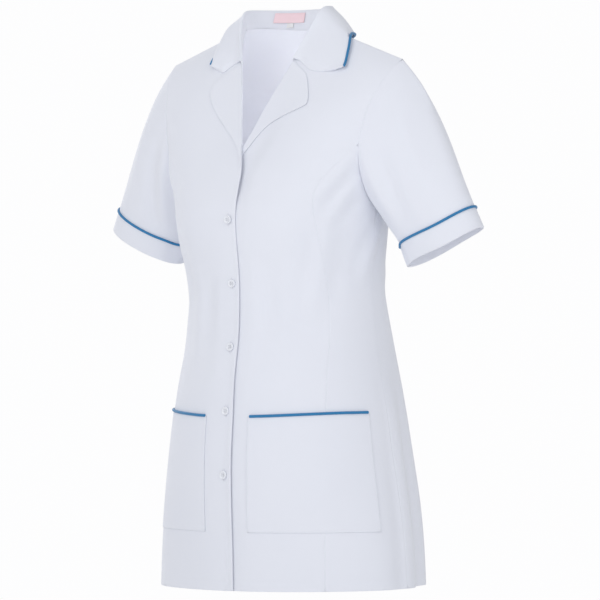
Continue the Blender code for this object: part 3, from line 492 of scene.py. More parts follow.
class Drape:
    """Moves every piece by the same folds."""

    def __init__(self, folds: tuple[Fold | Nudge, ...]) -> None:
        """Keep the folds."""
        self.folds = folds

    def settle(self, points: np.ndarray) -> np.ndarray:
        """Move points by all the folds.

        Args:
            points: places in metres, one a row.

        Returns:
            The places after the folds.
        """
        return points + sum(fold.moves(points) for fold in self.folds)


DRAPE = Drape((*FOLDS, *NUDGES))


# Mesh helpers

def frame_points(node: str) -> np.ndarray:
    """Points of a CAD node.

    Args:
        node: name of the node.

    Returns:
        Its merged points in metres, one a row.
    """
    points = np.array([tuple(v.co) for v in frame["nodes"][node].data.vertices])
    return np.unique(np.round(points, 6), axis=0)


def merged(node: str) -> bmesh.types.BMesh:
    """Merge the corners and flat faces of a CAD node's copy.

    Args:
        node: name of the node.

    Returns:
        A bmesh that the caller frees.
    """
    shape = bmesh.new()
    shape.from_mesh(frame["nodes"][node].data)
    bmesh.ops.remove_doubles(shape, verts=shape.verts, dist=0.02 * MM)
    bmesh.ops.join_triangles(
        shape, faces=shape.faces, angle_face_threshold=math.radians(60),
        angle_shape_threshold=math.radians(80), cmp_seam=False, cmp_sharp=False,
        cmp_uvs=False, cmp_vcols=False, cmp_materials=False)
    return shape


def add_object(name: str, mesh: bpy.types.Mesh) -> bpy.types.Object:
    """Put a mesh in the scene as an object at the origin."""
    piece = bpy.data.objects.new(name, mesh)
    bpy.context.scene.collection.objects.link(piece)
    return piece


def baked(piece: bpy.types.Object) -> bpy.types.Object:
    """Apply a piece's modifiers.

    Args:
        piece: object with live modifiers.

    Returns:
        The same object with the result as its own mesh and no modifier.
    """
    graph = bpy.context.evaluated_depsgraph_get()
    mesh = bpy.data.meshes.new_from_object(piece.evaluated_get(graph), depsgraph=graph)
    old = piece.data
    piece.modifiers.clear()
    piece.data = mesh
    mesh.name = piece.name
    if not old.users:
        bpy.data.batch_remove([old])
    return piece


def coordinates(mesh: bpy.types.Mesh) -> np.ndarray:
    """Points of a mesh, one a row."""
    flat = np.empty(len(mesh.vertices) * 3)
    mesh.vertices.foreach_get("co", flat)
    return flat.reshape(-1, 3)


def set_coordinates(mesh: bpy.types.Mesh, points: np.ndarray) -> None:
    """Write points back to a mesh."""
    mesh.vertices.foreach_set("co", points.ravel())
    mesh.update()


def hand_over(piece: bpy.types.Object, slot: Slot, *nodes: str) -> bpy.types.Object:
    """Args:
        piece: the finished object.
        slot: the record's slot for its finish; not used.
        nodes: CAD nodes that it stands for.

    Returns:
        The same object.
    """
    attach(piece, "root")
    if nodes:
        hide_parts(*nodes)
    log.info("%s: %d faces", piece.name, len(piece.data.polygons))
    return piece


# Cloth pieces

@dataclass
class ClothPiece:
    """One cut piece: a smooth shell on its solid's form."""

    node: str
    flat: tuple[float, float]
    area: float
    finish: WovenFinish
    slot: Slot = Slot.CLOTH
    rests_on: tuple[str, ...] = ()
    trims: tuple[str, ...] = ()
    levels: int = 3
    hard_edge: float = 50.0
    crease: float = 0.9
    centre: tuple[float, float] = (0.0, 0.02)
    lean: tuple[float, float, float] = (0.0, 0.0, 1.0)

    def shape(self) -> bpy.types.Object:
        """Merge a copy of the solid, smooth it and map it.

        Returns:
            The smooth piece, before its folds.
        """
        shape = merged(self.node)
        creases = shape.edges.layers.float.new("crease_edge")
        corners = shape.verts.layers.float.new("crease_vert")
        for edge in shape.edges:
            if edge.calc_face_angle(0.0) > math.radians(self.hard_edge):
                edge[creases] = self.crease
        for corner in shape.verts:
            if sum(edge[creases] > 0.0 for edge in corner.link_edges) > 2:
                corner[corners] = 1.0
        for face in shape.faces:
            face.smooth = True
        mesh = bpy.data.meshes.new(self.node + "_cloth")
        shape.to_mesh(mesh)
        shape.free()
        mesh.materials.clear()
        mesh.materials.append(self.finish.material())
        piece = add_object(self.node + "_cloth", mesh)
        smoother = piece.modifiers.new("smooth", "SUBSURF")
        smoother.levels = self.levels
        smoother.render_levels = self.levels
        baked(piece)
        self.map_cloth(piece.data)
        return piece

    def map_cloth(self, mesh: bpy.types.Mesh) -> None:
        """Give the mesh a map in metres, round and along the piece, for its threads.

        Args:
            mesh: the smooth mesh, before its folds.
        """
        points = coordinates(mesh)
        lean = np.array(self.lean) / np.linalg.norm(self.lean)
        origin = np.array([self.centre[0], self.centre[1], 0.0])
        away = points - origin
        high = away @ lean
        level = away - np.outer(high, lean)
        side = np.cross([0.0, 1.0, 0.0], lean)
        side /= np.linalg.norm(side)
        ahead = np.cross(side, lean)
        angle = np.arctan2(level @ side, level @ ahead)
        radius = float(np.mean(np.linalg.norm(level, axis=1)))
        corners = np.empty(len(mesh.loops), dtype=np.int32)
        mesh.loops.foreach_get("vertex_index", corners)
        turns = angle[corners]
        starts = np.empty(len(mesh.polygons), dtype=np.int32)
        totals = np.empty(len(mesh.polygons), dtype=np.int32)
        mesh.polygons.foreach_get("loop_start", starts)
        mesh.polygons.foreach_get("loop_total", totals)
        first = np.repeat(turns[starts], totals)
        turns = np.where(turns - first > math.pi, turns - 2 * math.pi, turns)
        turns = np.where(first - turns > math.pi, turns + 2 * math.pi, turns)
        layer = mesh.uv_layers.get("cloth") or mesh.uv_layers.new(name="cloth")
        layer.data.foreach_set("uv", np.column_stack([turns * radius, high[corners]]).ravel())


@dataclass(frozen=True)
class Seam:
    """Two pieces sewn together: how near their edges lie, and how far the first one gives way."""

    first: str
    second: str
    reach: float = 0.9 * MM
    give: float = 0.5
    middle: tuple[float, float, float] = (0.0, 0.0, -0.4)
    radius: float = 9.0


class Workroom:
    """Smooth pieces on the table, sewn and folded before they are handed over."""

    def __init__(self) -> None:
        """Start with an empty table and both Geometry Nodes trees."""
        self.cuts: dict[str, ClothPiece] = {}
        self.pieces: dict[str, bpy.types.Object] = {}
        self.flat: dict[str, BVHTree] = {}
        self.cords = CordTree()
        self.stitches = StitchTree()

    def shape(self, cut: ClothPiece) -> None:
        """Shape a piece and keep it on the table."""
        self.cuts[cut.node] = cut
        self.pieces[cut.node] = cut.shape()

    def surface(self, node: str) -> BVHTree:
        """Search tree of a piece as it was before its folds.

        Args:
            node: CAD node of the piece.

        Returns:
            The tree.
        """
        if node not in self.flat:
            mesh = self.pieces[node].data
            faces = [tuple(face.vertices) for face in mesh.polygons]
            self.flat[node] = BVHTree.FromPolygons([tuple(v.co) for v in mesh.vertices], faces)
        return self.flat[node]

    def draw_in(self, node: str, other: str, seam: Seam) -> None:
        """Move the points of one piece that lie near another towards it.

        Args:
            node: piece that moves.
            other: piece that it is sewn to.
            seam: how far the seam reaches, where, and the share of the gap that is closed.
        """
        reach = seam.reach
        points = coordinates(self.pieces[node].data)
        other_points = coordinates(self.pieces[other].data)
        low = other_points.min(axis=0) - reach
        high = other_points.max(axis=0) + reach
        hold = np.exp(-(np.linalg.norm(points - np.array(seam.middle), axis=1) / seam.radius) ** 6)
        near = np.nonzero(np.all((points > low) & (points < high), axis=1) & (hold > 0.02))[0]
        tree = self.surface(other)
        for index in near:
            place, _, _, distance = tree.find_nearest(Vector(points[index]), reach)
            if place is not None:
                ease = (1.0 - (distance / reach) ** 4) * hold[index]
                points[index] += (np.array(place) - points[index]) * seam.give * ease
        set_coordinates(self.pieces[node].data, points)

    def close(self, seam: Seam) -> None:
        """Close the working gap of a seam."""
        self.surface(seam.first)
        self.surface(seam.second)
        self.draw_in(seam.first, seam.second, seam)
        if seam.give < 0.6:
            self.draw_in(seam.second, seam.first, seam)

    def shift(self, node: str, nudge: Nudge) -> None:
        """Shift part of one piece alone."""
        points = coordinates(self.pieces[node].data)
        set_coordinates(self.pieces[node].data, points + nudge.moves(points))
        self.flat.pop(node, None)

    def press(self, node: str, under: tuple[str, ...], share: float) -> None:
        """Press a piece that lies on others flatter against them.

        Args:
            node: piece that is pressed.
            under: pieces that it lies on.
            share: share of its height over them that stays.
        """
        points = coordinates(self.pieces[node].data)
        trees = [self.surface(name) for name in under]
        for index, point in enumerate(points):
            found = [tree.find_nearest(Vector(point)) for tree in trees]
            place = min(found, key=lambda hit: hit[3])[0]
            points[index] = np.array(place) + (point - np.array(place)) * share
        set_coordinates(self.pieces[node].data, points)
        self.flat.pop(node, None)

    def on_cloth(self, node: str, points: np.ndarray, proud: float) -> np.ndarray:
        """Lay points on a piece and fold them with it.

        Args:
            node: piece that they lie on.
            points: places near its face, before its folds.
            proud: how far they stand over it.

        Returns:
            Places on the folded cloth.
        """
        tree = self.surface(node)
        laid = []
        for point in points:
            place, normal, _, _ = tree.find_nearest(Vector(point))
            laid.append(np.array(place) + np.array(normal) * proud)
        return DRAPE.settle(np.array(laid))

    def snug(self, line: np.ndarray, nodes: tuple[str, ...], proud: float, closed: bool) -> np.ndarray:
        """Bring a line down to the pieces that it is sewn between.

        Args:
            line: places along the line, before the folds.
            nodes: the pieces.
            proud: how far the line stays over them.
            closed: whether the line joins its own start.

        Returns:
            The new places, evened out along the line.
        """
        trees = [self.surface(node) for node in nodes]
        laid = []
        for point in line:
            place = np.array(min((tree.find_nearest(Vector(point)) for tree in trees), key=lambda hit: hit[3])[0])
            away = point - place
            laid.append(place + away / max(np.linalg.norm(away), 1e-6) * proud)
        return line + evened(np.array(laid) - line, 16, closed)

    def lift(self, node: str, amount: float, width: float, top: float, full: float) -> None:
        """Lift a panel's free edge on the wearer's left off what lies under it.

        Args:
            node: the panel.
            amount: height of the lift at the edge.
            width: distance over which it dies away.
            top: height where it starts.
            full: height below which it is whole.
        """
        points = coordinates(self.pieces[node].data)
        levels = np.round(points[:, 2] / (12 * MM)).astype(int)
        rows = np.unique(levels)
        edges = [points[levels == row, 0].max() for row in rows]
        gap = np.interp(points[:, 2] / (12 * MM), rows, edges) - points[:, 0]
        ramp = np.clip((top - points[:, 2]) / (top - full), 0.0, 1.0)
        points[:, 1] -= amount * ramp * np.exp(-(gap / width) ** 2)
        set_coordinates(self.pieces[node].data, points)
        self.flat.pop(node, None)

    def fold(self) -> None:
        """Press the folds into every piece."""
        for piece in self.pieces.values():
            set_coordinates(piece.data, DRAPE.settle(coordinates(piece.data)))

    def hand_over(self) -> None:
        for node, piece in self.pieces.items():
            cut = self.cuts[node]
            hand_over(piece, cut.slot, node)


@dataclass
class Cord:
    """Piping that follows a line of points, made by Geometry Nodes."""

    node: str
    ring: int = 6
    radius: float = 1.75 * MM
    closed: bool = False
    centre: tuple[float, float] = (0.0, 0.0)
    by_angle: bool = True
    lean: tuple[float, float, float] = (0.0, 0.0, 1.0)
    lies_on: tuple[str, ...] = ()
    proud: float = 0.9 * MM
    tucks: tuple[Nudge, ...] = ()

    def path(self) -> np.ndarray:
        """Middle line of the CAD cord: the mean of each ring of its points."""
        points = frame_points(self.node)
        if self.by_angle:
            lean = np.array(self.lean) / np.linalg.norm(self.lean)
            away = points - np.array([*self.centre, 0.0])
            level = away - np.outer(away @ lean, lean)
            keys = np.arctan2(level[:, 0], level[:, 1])
            middle = points.mean(axis=0)
            if self.closed:
                away = points - middle
                side = np.cross([0.0, 1.0, 0.0], lean)
                side /= np.linalg.norm(side)
                ahead = np.cross(side, lean)
                keys = np.arctan2(away @ side, away @ ahead)
        else:
            keys = points[:, 0]
        order = np.argsort(keys)
        rings = points[order].reshape(-1, self.ring, 3)
        return rings.mean(axis=1)

    def lay(self, room: "Workroom", name: str) -> None:
        """Fold the cord with the cloth and hand it over.

        Args:
            room: where the Geometry Nodes trees are kept.
            name: name of the new piece.
        """
        path = evened(smooth_line(self.path(), closed=self.closed), 10, self.closed)
        path = Drape(self.tucks).settle(room.snug(path, self.lies_on, self.proud, self.closed))
        path = DRAPE.settle(path)
        piping = room.cords.grow(name, [path], self.closed, self.radius, PIPING.material())
        hand_over(piping, Slot.PIPING, self.node)


def rim_sides(node: str, corner: float = 38.0) -> list[tuple[np.ndarray, np.ndarray, np.ndarray]]:
    """Edges of a wall's outer face, split at its corners.

    Args:
        node: name of the CAD node.
        corner: turn in degrees that counts as a corner.

    Returns:
        For each side its points, the directions into the cloth and the outward directions.
    """
    shape = merged(node)
    shape.faces.ensure_lookup_table()
    groups: list[list[bmesh.types.BMFace]] = []
    seen: set[int] = set()
    for first in shape.faces:
        if first.index in seen:
            continue
        seen.add(first.index)
        group = [first]
        for face in group:
            for edge in face.edges:
                if edge.calc_face_angle(0.0) < math.radians(50.0):
                    for other in edge.link_faces:
                        if other.index not in seen:
                            seen.add(other.index)
                            group.append(other)
        groups.append(group)
    outer = max(groups, key=lambda group: sum(face.calc_area() for face in group))
    inside = {face.index for face in outer}
    steps: dict[int, tuple[int, np.ndarray, np.ndarray]] = {}
    for face in outer:
        for loop in face.loops:
            across = loop.link_loop_radial_next.face
            if across.index not in inside:
                start, end = np.array(loop.vert.co), np.array(loop.link_loop_next.vert.co)
                normal = np.array(face.normal)
                inward = np.cross(normal, end - start)
                steps[loop.vert.index] = (loop.link_loop_next.vert.index, inward / np.linalg.norm(inward), normal)
    places = {v.index: np.array(v.co) for v in shape.verts}
    shape.free()
    sides = []
    while steps:
        index = next(iter(steps))
        chain = []
        while index in steps:
            following, inward, normal = steps.pop(index)
            chain.append((places[index], inward, normal, places[following]))
            index = following
        turns = [math.degrees(math.acos(np.clip(np.dot(a[1], b[1]), -1, 1)))
                 for a, b in zip([chain[-1], *chain[:-1]], chain)]
        cuts = [k for k, turn in enumerate(turns) if turn > corner] or [0]
        for k, start in enumerate(cuts):
            stop = cuts[k + 1] if k + 1 < len(cuts) else cuts[0] + len(chain)
            part = [chain[i % len(chain)] for i in range(start, stop)]
            points = np.array([step[0] for step in part] + [part[-1][3]])
            inwards = [step[1] for step in part]
            inwards = [inwards[0]] + [a + b for a, b in zip(inwards[:-1], inwards[1:])] + [inwards[-1]]
            outwards = [part[0][2]] + [a[2] + b[2] for a, b in zip(part[:-1], part[1:])] + [part[-1][2]]
            sides.append((points, *(np.array([v / np.linalg.norm(v) for v in group])
                                    for group in (inwards, outwards))))
    return sides


def evened(values: np.ndarray, rounds: int, closed: bool) -> np.ndarray:
    """Even out values along a line by averaging neighbours.

    Args:
        values: one row for each place along the line.
        rounds: how often they are averaged.
        closed: whether the line joins its own start.

    Returns:
        The evened rows.
    """
    for _ in range(rounds):
        before, after = np.roll(values, 1, axis=0), np.roll(values, -1, axis=0)
        if not closed:
            before[0], after[-1] = values[0], values[-1]
        values = (before + 2 * values + after) / 4
    return values


def smooth_line(points: np.ndarray, step: float = 2.0 * MM, closed: bool = False) -> np.ndarray:
    """Smooth curve through points, at an even spacing.

    Args:
        points: places along the line.
        step: distance between the new points.
        closed: whether the line joins its own start, which is not repeated at the end.

    Returns:
        The new places.
    """
    if closed:
        padded = np.vstack([points[-1], points, points[:2]])
    else:
        padded = np.vstack([2 * points[0] - points[1], points, 2 * points[-1] - points[-2]])
    dense = []
    for k in range(len(padded) - 3):
        p0, p1, p2, p3 = padded[k:k + 4]
        for t in np.linspace(0, 1, 8, endpoint=False):
            dense.append(0.5 * (2 * p1 + (p2 - p0) * t + (2 * p0 - 5 * p1 + 4 * p2 - p3) * t * t
                                + (3 * p1 - p0 - 3 * p2 + p3) * t ** 3))
    dense = np.array([*dense, padded[-2]])
    far = np.concatenate([[0.0], np.cumsum(np.linalg.norm(np.diff(dense, axis=0), axis=1))])
    even = np.linspace(0.0, far[-1], max(int(far[-1] / step), 2) + 1)
    even = even[:-1] if closed else even
    return np.column_stack([np.interp(even, far, dense[:, axis]) for axis in range(3)])


@dataclass(frozen=True)
class Topstitch:
    """A row of stitches beside those edges of a piece whose middle lies in a box."""

    node: str
    inset: float
    low: tuple[float, float, float] = (-1.0, -1.0, -1.0)
    high: tuple[float, float, float] = (1.0, 1.0, 1.0)
    row: str = "edge"

    def sew(self, room: "Workroom") -> None:
        """Sew the row.

        Args:
            room: where the piece is kept.
        """
        lines = []
        for points, inwards, outwards in rim_sides(self.node):
            middle = points.mean(axis=0)
            length = np.linalg.norm(np.diff(points, axis=0), axis=1).sum()
            if length > 5 * self.inset and np.all(middle > self.low) and np.all(middle < self.high):
                line = smooth_line(points + inwards * self.inset + outwards * MM)
                cut = int(self.inset / (2.0 * MM))
                lines.append(room.on_cloth(self.node, line[cut:len(line) - cut], 0.05 * MM))
        hand_over(room.stitches.sew(f"{self.node}_{self.row}_stitches", lines), Slot.CLOTH)


class CordTree:
    """Geometry Nodes that turn a line into a round cord with its own map."""

    def __init__(self) -> None:
        """Build the tree with its named inputs."""
        tree = bpy.data.node_groups.new("cord_on_line", "GeometryNodeTree")
        self.tree = tree
        face = tree.interface
        face.new_socket("Geometry", in_out="INPUT", socket_type="NodeSocketGeometry")
        for name, value in (("Radius", 1.7 * MM), ("Step", 2.0 * MM)):
            face.new_socket(name, in_out="INPUT", socket_type="NodeSocketFloat").default_value = value
        face.new_socket("Finish", in_out="INPUT", socket_type="NodeSocketMaterial")
        face.new_socket("Geometry", in_out="OUTPUT", socket_type="NodeSocketGeometry")
        enter = tree.nodes.new("NodeGroupInput")
        leave = tree.nodes.new("NodeGroupOutput")
        line = tree.nodes.new("GeometryNodeMeshToCurve")
        even = tree.nodes.new("GeometryNodeResampleCurve")
        even.mode = "LENGTH"
        place = tree.nodes.new("GeometryNodeSplineParameter")
        keep_length = tree.nodes.new("GeometryNodeStoreNamedAttribute")
        keep_length.data_type = "FLOAT"
        keep_length.domain = "POINT"
        keep_length.inputs["Name"].default_value = "cord_length"
        circle = tree.nodes.new("GeometryNodeCurvePrimitiveCircle")
        circle.mode = "RADIUS"
        circle.inputs["Resolution"].default_value = 14
        around = tree.nodes.new("GeometryNodeSplineParameter")
        keep_turn = tree.nodes.new("GeometryNodeStoreNamedAttribute")
        keep_turn.data_type = "FLOAT"
        keep_turn.domain = "POINT"
        keep_turn.inputs["Name"].default_value = "cord_turn"
        tube = tree.nodes.new("GeometryNodeCurveToMesh")
        tube.inputs["Fill Caps"].default_value = True
        length = tree.nodes.new("GeometryNodeInputNamedAttribute")
        length.data_type = "FLOAT"
        length.inputs["Name"].default_value = "cord_length"
        turn = tree.nodes.new("GeometryNodeInputNamedAttribute")
        turn.data_type = "FLOAT"
        turn.inputs["Name"].default_value = "cord_turn"
        both = tree.nodes.new("ShaderNodeCombineXYZ")
        store = tree.nodes.new("GeometryNodeStoreNamedAttribute")
        store.data_type = "FLOAT_VECTOR"
        store.domain = "POINT"
        store.inputs["Name"].default_value = "cord_place"
        real = tree.nodes.new("GeometryNodeRealizeInstances")
        dress = tree.nodes.new("GeometryNodeSetMaterial")
        links = tree.links
        links.new(enter.outputs["Geometry"], line.inputs["Mesh"])
        links.new(line.outputs["Curve"], even.inputs["Curve"])
        links.new(enter.outputs["Step"], even.inputs["Length"])
        links.new(even.outputs["Curve"], keep_length.inputs["Geometry"])
        links.new(place.outputs["Length"], keep_length.inputs["Value"])
        links.new(enter.outputs["Radius"], circle.inputs["Radius"])
        links.new(circle.outputs["Curve"], keep_turn.inputs["Geometry"])
        links.new(around.outputs["Factor"], keep_turn.inputs["Value"])
        links.new(keep_length.outputs["Geometry"], tube.inputs["Curve"])
        links.new(keep_turn.outputs["Geometry"], tube.inputs["Profile Curve"])
        links.new(tube.outputs["Mesh"], store.inputs["Geometry"])
        links.new(length.outputs["Attribute"], both.inputs["X"])
        links.new(turn.outputs["Attribute"], both.inputs["Y"])
        links.new(both.outputs["Vector"], store.inputs["Value"])
        links.new(store.outputs["Geometry"], real.inputs["Geometry"])
        links.new(real.outputs["Geometry"], dress.inputs["Geometry"])
        links.new(enter.outputs["Finish"], dress.inputs["Material"])
        links.new(dress.outputs["Geometry"], leave.inputs["Geometry"])

    def grow(self, name: str, lines: list[np.ndarray], closed: bool, radius: float,
             finish: bpy.types.Material, step: float = 2.0 * MM) -> bpy.types.Object:
        """Make cords along lines.

        Args:
            name: name of the new object.
            lines: places along each line, one a row.
            closed: whether each line joins its own start.
            radius: radius of the cords.
            finish: their material.
            step: distance between the rings of a cord.

        Returns:
            The cords as one plain mesh.
        """
        piece = add_object(name, line_mesh(name, lines, closed))
        grower = piece.modifiers.new("cord", "NODES")
        grower.node_group = self.tree
        set_inputs(grower, Radius=radius, Step=step, Finish=finish)
        baked(piece)
        for polygon in piece.data.polygons:
            polygon.use_smooth = True
        return piece


class StitchTree:
    """Geometry Nodes that lay stitches along lines, at an even pitch."""

    def __init__(self) -> None:
        """Build the tree with its named inputs."""
        tree = bpy.data.node_groups.new("stitches_on_line", "GeometryNodeTree")
        self.tree = tree
        face = tree.interface
        face.new_socket("Geometry", in_out="INPUT", socket_type="NodeSocketGeometry")
        for name, value in (("Pitch", 2.6 * MM), ("Length", 1.9 * MM), ("Thread", 0.28 * MM)):
            face.new_socket(name, in_out="INPUT", socket_type="NodeSocketFloat").default_value = value
        face.new_socket("Finish", in_out="INPUT", socket_type="NodeSocketMaterial")
        face.new_socket("Geometry", in_out="OUTPUT", socket_type="NodeSocketGeometry")
        enter = tree.nodes.new("NodeGroupInput")
        leave = tree.nodes.new("NodeGroupOutput")
        line = tree.nodes.new("GeometryNodeMeshToCurve")
        even = tree.nodes.new("GeometryNodeResampleCurve")
        even.mode = "LENGTH"
        tangent = tree.nodes.new("GeometryNodeInputTangent")
        keep = tree.nodes.new("GeometryNodeCaptureAttribute")
        keep.capture_items.new("VECTOR", "Direction")
        points = tree.nodes.new("GeometryNodeCurveToPoints")
        points.mode = "EVALUATED"
        turn = tree.nodes.new("FunctionNodeAlignRotationToVector")
        turn.axis = "Z"
        stitch = tree.nodes.new("GeometryNodeMeshUVSphere")
        stitch.inputs["Segments"].default_value = 6
        stitch.inputs["Rings"].default_value = 4
        stitch.inputs["Radius"].default_value = 0.5
        size = tree.nodes.new("ShaderNodeCombineXYZ")
        place = tree.nodes.new("GeometryNodeInstanceOnPoints")
        real = tree.nodes.new("GeometryNodeRealizeInstances")
        smooth = tree.nodes.new("GeometryNodeSetShadeSmooth")
        dress = tree.nodes.new("GeometryNodeSetMaterial")
        links = tree.links
        links.new(enter.outputs["Geometry"], line.inputs["Mesh"])
        links.new(line.outputs["Curve"], even.inputs["Curve"])
        links.new(enter.outputs["Pitch"], even.inputs["Length"])
        links.new(even.outputs["Curve"], keep.inputs["Geometry"])
        links.new(tangent.outputs["Tangent"], keep.inputs["Direction"])
        links.new(keep.outputs["Geometry"], points.inputs["Curve"])
        links.new(keep.outputs["Direction"], turn.inputs["Vector"])
        links.new(enter.outputs["Thread"], size.inputs["X"])
        links.new(enter.outputs["Thread"], size.inputs["Y"])
        links.new(enter.outputs["Length"], size.inputs["Z"])
        links.new(points.outputs["Points"], place.inputs["Points"])
        links.new(stitch.outputs["Mesh"], place.inputs["Instance"])
        links.new(turn.outputs["Rotation"], place.inputs["Rotation"])
        links.new(size.outputs["Vector"], place.inputs["Scale"])
        links.new(place.outputs["Instances"], smooth.inputs["Geometry"])
        links.new(smooth.outputs["Geometry"], real.inputs["Geometry"])
        links.new(real.outputs["Geometry"], dress.inputs["Geometry"])
        links.new(enter.outputs["Finish"], dress.inputs["Material"])
        links.new(dress.outputs["Geometry"], leave.inputs["Geometry"])

    def sew(self, name: str, lines: list[np.ndarray], pitch: float = 2.6 * MM, length: float = 1.9 * MM,
            thread: float = 0.3 * MM) -> bpy.types.Object:
        """Lay stitches along several lines.

        Args:
            name: name of the new object.
            lines: places along each line.
            pitch: distance from stitch to stitch.
            length: length of a stitch.
            thread: thickness of the thread.

        Returns:
            The stitches as one plain mesh.
        """
        piece = add_object(name, line_mesh(name, lines, False))
        sewer = piece.modifiers.new("stitches", "NODES")
        sewer.node_group = self.tree
        set_inputs(sewer, Pitch=pitch, Length=length, Thread=thread, Finish=THREAD.material())
        return baked(piece)


def line_mesh(name: str, lines: list[np.ndarray], closed: bool) -> bpy.types.Mesh:
    """Make a mesh of points and edges.

    Args:
        name: name of the mesh.
        lines: places along each line.
        closed: whether each line joins its own start.

    Returns:
        The mesh, with no faces.
    """
    points: list[tuple] = []
    edges: list[tuple[int, int]] = []
    for line in lines:
        first = len(points)
        points += [tuple(point) for point in line]
        edges += [(first + k, first + k + 1) for k in range(len(line) - 1)]
        if closed:
            edges.append((len(points) - 1, first))
    mesh = bpy.data.meshes.new(name)
    mesh.from_pydata(points, edges, [])
    return mesh


def set_inputs(modifier: bpy.types.Modifier, **values: object) -> None:
    """Set a Geometry Nodes modifier's inputs by their sockets' identifiers.

    Args:
        modifier: the modifier.
        values: value for each named input.
    """
    for item in modifier.node_group.interface.items_tree:
        if item.item_type == "SOCKET" and item.in_out == "INPUT" and item.name in values:
            modifier[item.identifier] = values[item.name]


# Studio

@dataclass
class Studio:
    """Pale floor, soft lights and the camera at the photograph's angle."""

    turn: float = math.radians(37.5)
    distance: float = 4.8
    lens: float = 213.0
    aside: float = 0.023
    height: float = -0.3645
    floor_drop: float = 0.30
    floor_radius: float = 3.1
    ambient: float = 0.57
    hollows: tuple[tuple[tuple[float, float, float], float], ...] = (
        ((0.0, -0.010, -0.125), 0.190),
        ((0.0, 0.015, -0.320), 0.150),
        ((0.0, 0.015, -0.560), 0.150),
        ((0.228, 0.018, -0.235), 0.012),
        ((-0.228, 0.018, -0.228), 0.012),
    )

    def build(self) -> None:
        """Set the camera, the lights and the floor."""
        right = Vector((math.cos(self.turn), math.sin(self.turn), 0.0))
        target = right * self.aside + Vector((0.0, 0.0, self.height))
        toward = Vector((math.sin(self.turn), -math.cos(self.turn), 0.0))
        camera = bpy.data.cameras.new("camera")
        camera.lens = self.lens
        camera.sensor_width = 36.0
        seat = bpy.data.objects.new("camera", camera)
        seat.location = target + toward * self.distance
        seat.rotation_euler = (-toward).to_track_quat("-Z", "Y").to_euler()
        bpy.context.scene.collection.objects.link(seat)
        bpy.context.scene.camera = seat
        self.light("key", target, toward * 1.9 - right * 1.7 + Vector((0, 0, 1.2)), 18.6, 1.6)
        self.light("fill", target, toward * 2.2 + right * 1.2 + Vector((0, 0, 0.4)), 12.5, 2.0)
        self.light("top", target, Vector((0, 0, 2.4)) + toward * 0.3, 4.0, 2.0)
        self.light("rim", target, -toward * 2.3 - right * 1.3 + Vector((0, 0, 0.9)), 15.0, 0.9)
        for place, watts in self.hollows:
            self.lantern(Vector(place), watts)
        bpy.context.scene.world = self.surroundings()
        bpy.context.scene.view_settings.view_transform = "Standard"
        self.floor()

    def light(self, name: str, target: Vector, away: Vector, watts: float, size: float) -> None:
        """Add a soft light that faces the garment.

        Args:
            name: name of the light.
            target: middle of the garment.
            away: place of the light from there.
            watts: its power.
            size: its width.
        """
        lamp = bpy.data.lights.new(name, "AREA")
        lamp.energy = watts
        lamp.size = size
        stand = bpy.data.objects.new(name, lamp)
        stand.location = target + away
        stand.rotation_euler = (-away).to_track_quat("-Z", "Y").to_euler()
        bpy.context.scene.collection.objects.link(stand)

    def lantern(self, place: Vector, watts: float) -> None:
        """Add a small unseen light in a hollow, for the light that thin cloth lets through.

        Args:
            place: where it is.
            watts: its power.
        """
        lamp = bpy.data.lights.new("lantern", "POINT")
        lamp.energy = watts
        lamp.color = (1.0, 0.965, 0.90)
        lamp.shadow_soft_size = 0.03
        stand = bpy.data.objects.new("lantern", lamp)
        stand.location = place
        stand.visible_camera = False
        bpy.context.scene.collection.objects.link(stand)

    def surroundings(self) -> bpy.types.World:
        """Make a white backdrop that lights the garment less than it shows.

        Returns:
            The world.
        """
        world = bpy.data.worlds.new("studio")
        world.use_nodes = True
        tree = world.node_tree
        seen = tree.nodes["Background"]
        seen.inputs["Color"].default_value = (0.985, 0.985, 0.99, 1.0)
        glow = tree.nodes.new("ShaderNodeBackground")
        glow.inputs["Color"].default_value = (0.97, 0.98, 1.0, 1.0)
        glow.inputs["Strength"].default_value = self.ambient
        ray = tree.nodes.new("ShaderNodeLightPath")
        choose = tree.nodes.new("ShaderNodeMixShader")
        tree.links.new(ray.outputs["Is Camera Ray"], choose.inputs["Fac"])
        tree.links.new(glow.outputs["Background"], choose.inputs[1])
        tree.links.new(seen.outputs["Background"], choose.inputs[2])
        tree.links.new(choose.outputs["Shader"], tree.nodes["World Output"].inputs["Surface"])
        return world

    def floor(self) -> None:
        """Lay a round pale floor below the hem."""
        low = CAD_BOX[0][2] - self.floor_drop
        shape = bmesh.new()
        bmesh.ops.create_circle(shape, cap_ends=True, segments=96, radius=self.floor_radius)
        for corner in shape.verts:
            corner.co.z = low
        mesh = bpy.data.meshes.new("floor")
        shape.to_mesh(mesh)
        shape.free()
        mesh.materials.append(FLOOR.material())
        add_object("floor", mesh)


# The garment

SLEEVE_LEAN = {Side.LEFT: (-0.42, 0.0, 0.906), Side.RIGHT: (0.42, 0.0, 0.906)}
SLEEVE_CENTRE = {Side.LEFT: (0.117, 0.015), Side.RIGHT: (-0.117, 0.015)}


# Where three seams meet on the wearer's left: the shoulder point, and the princess seam at the armhole
SHOULDER_TIP = (0.172, 0.022, -0.045)
ARMHOLE_JOINT = (0.158, -0.046, -0.157)
PANELS = ("front_right", "front_left", "side_front_right", "side_front_left", "back")


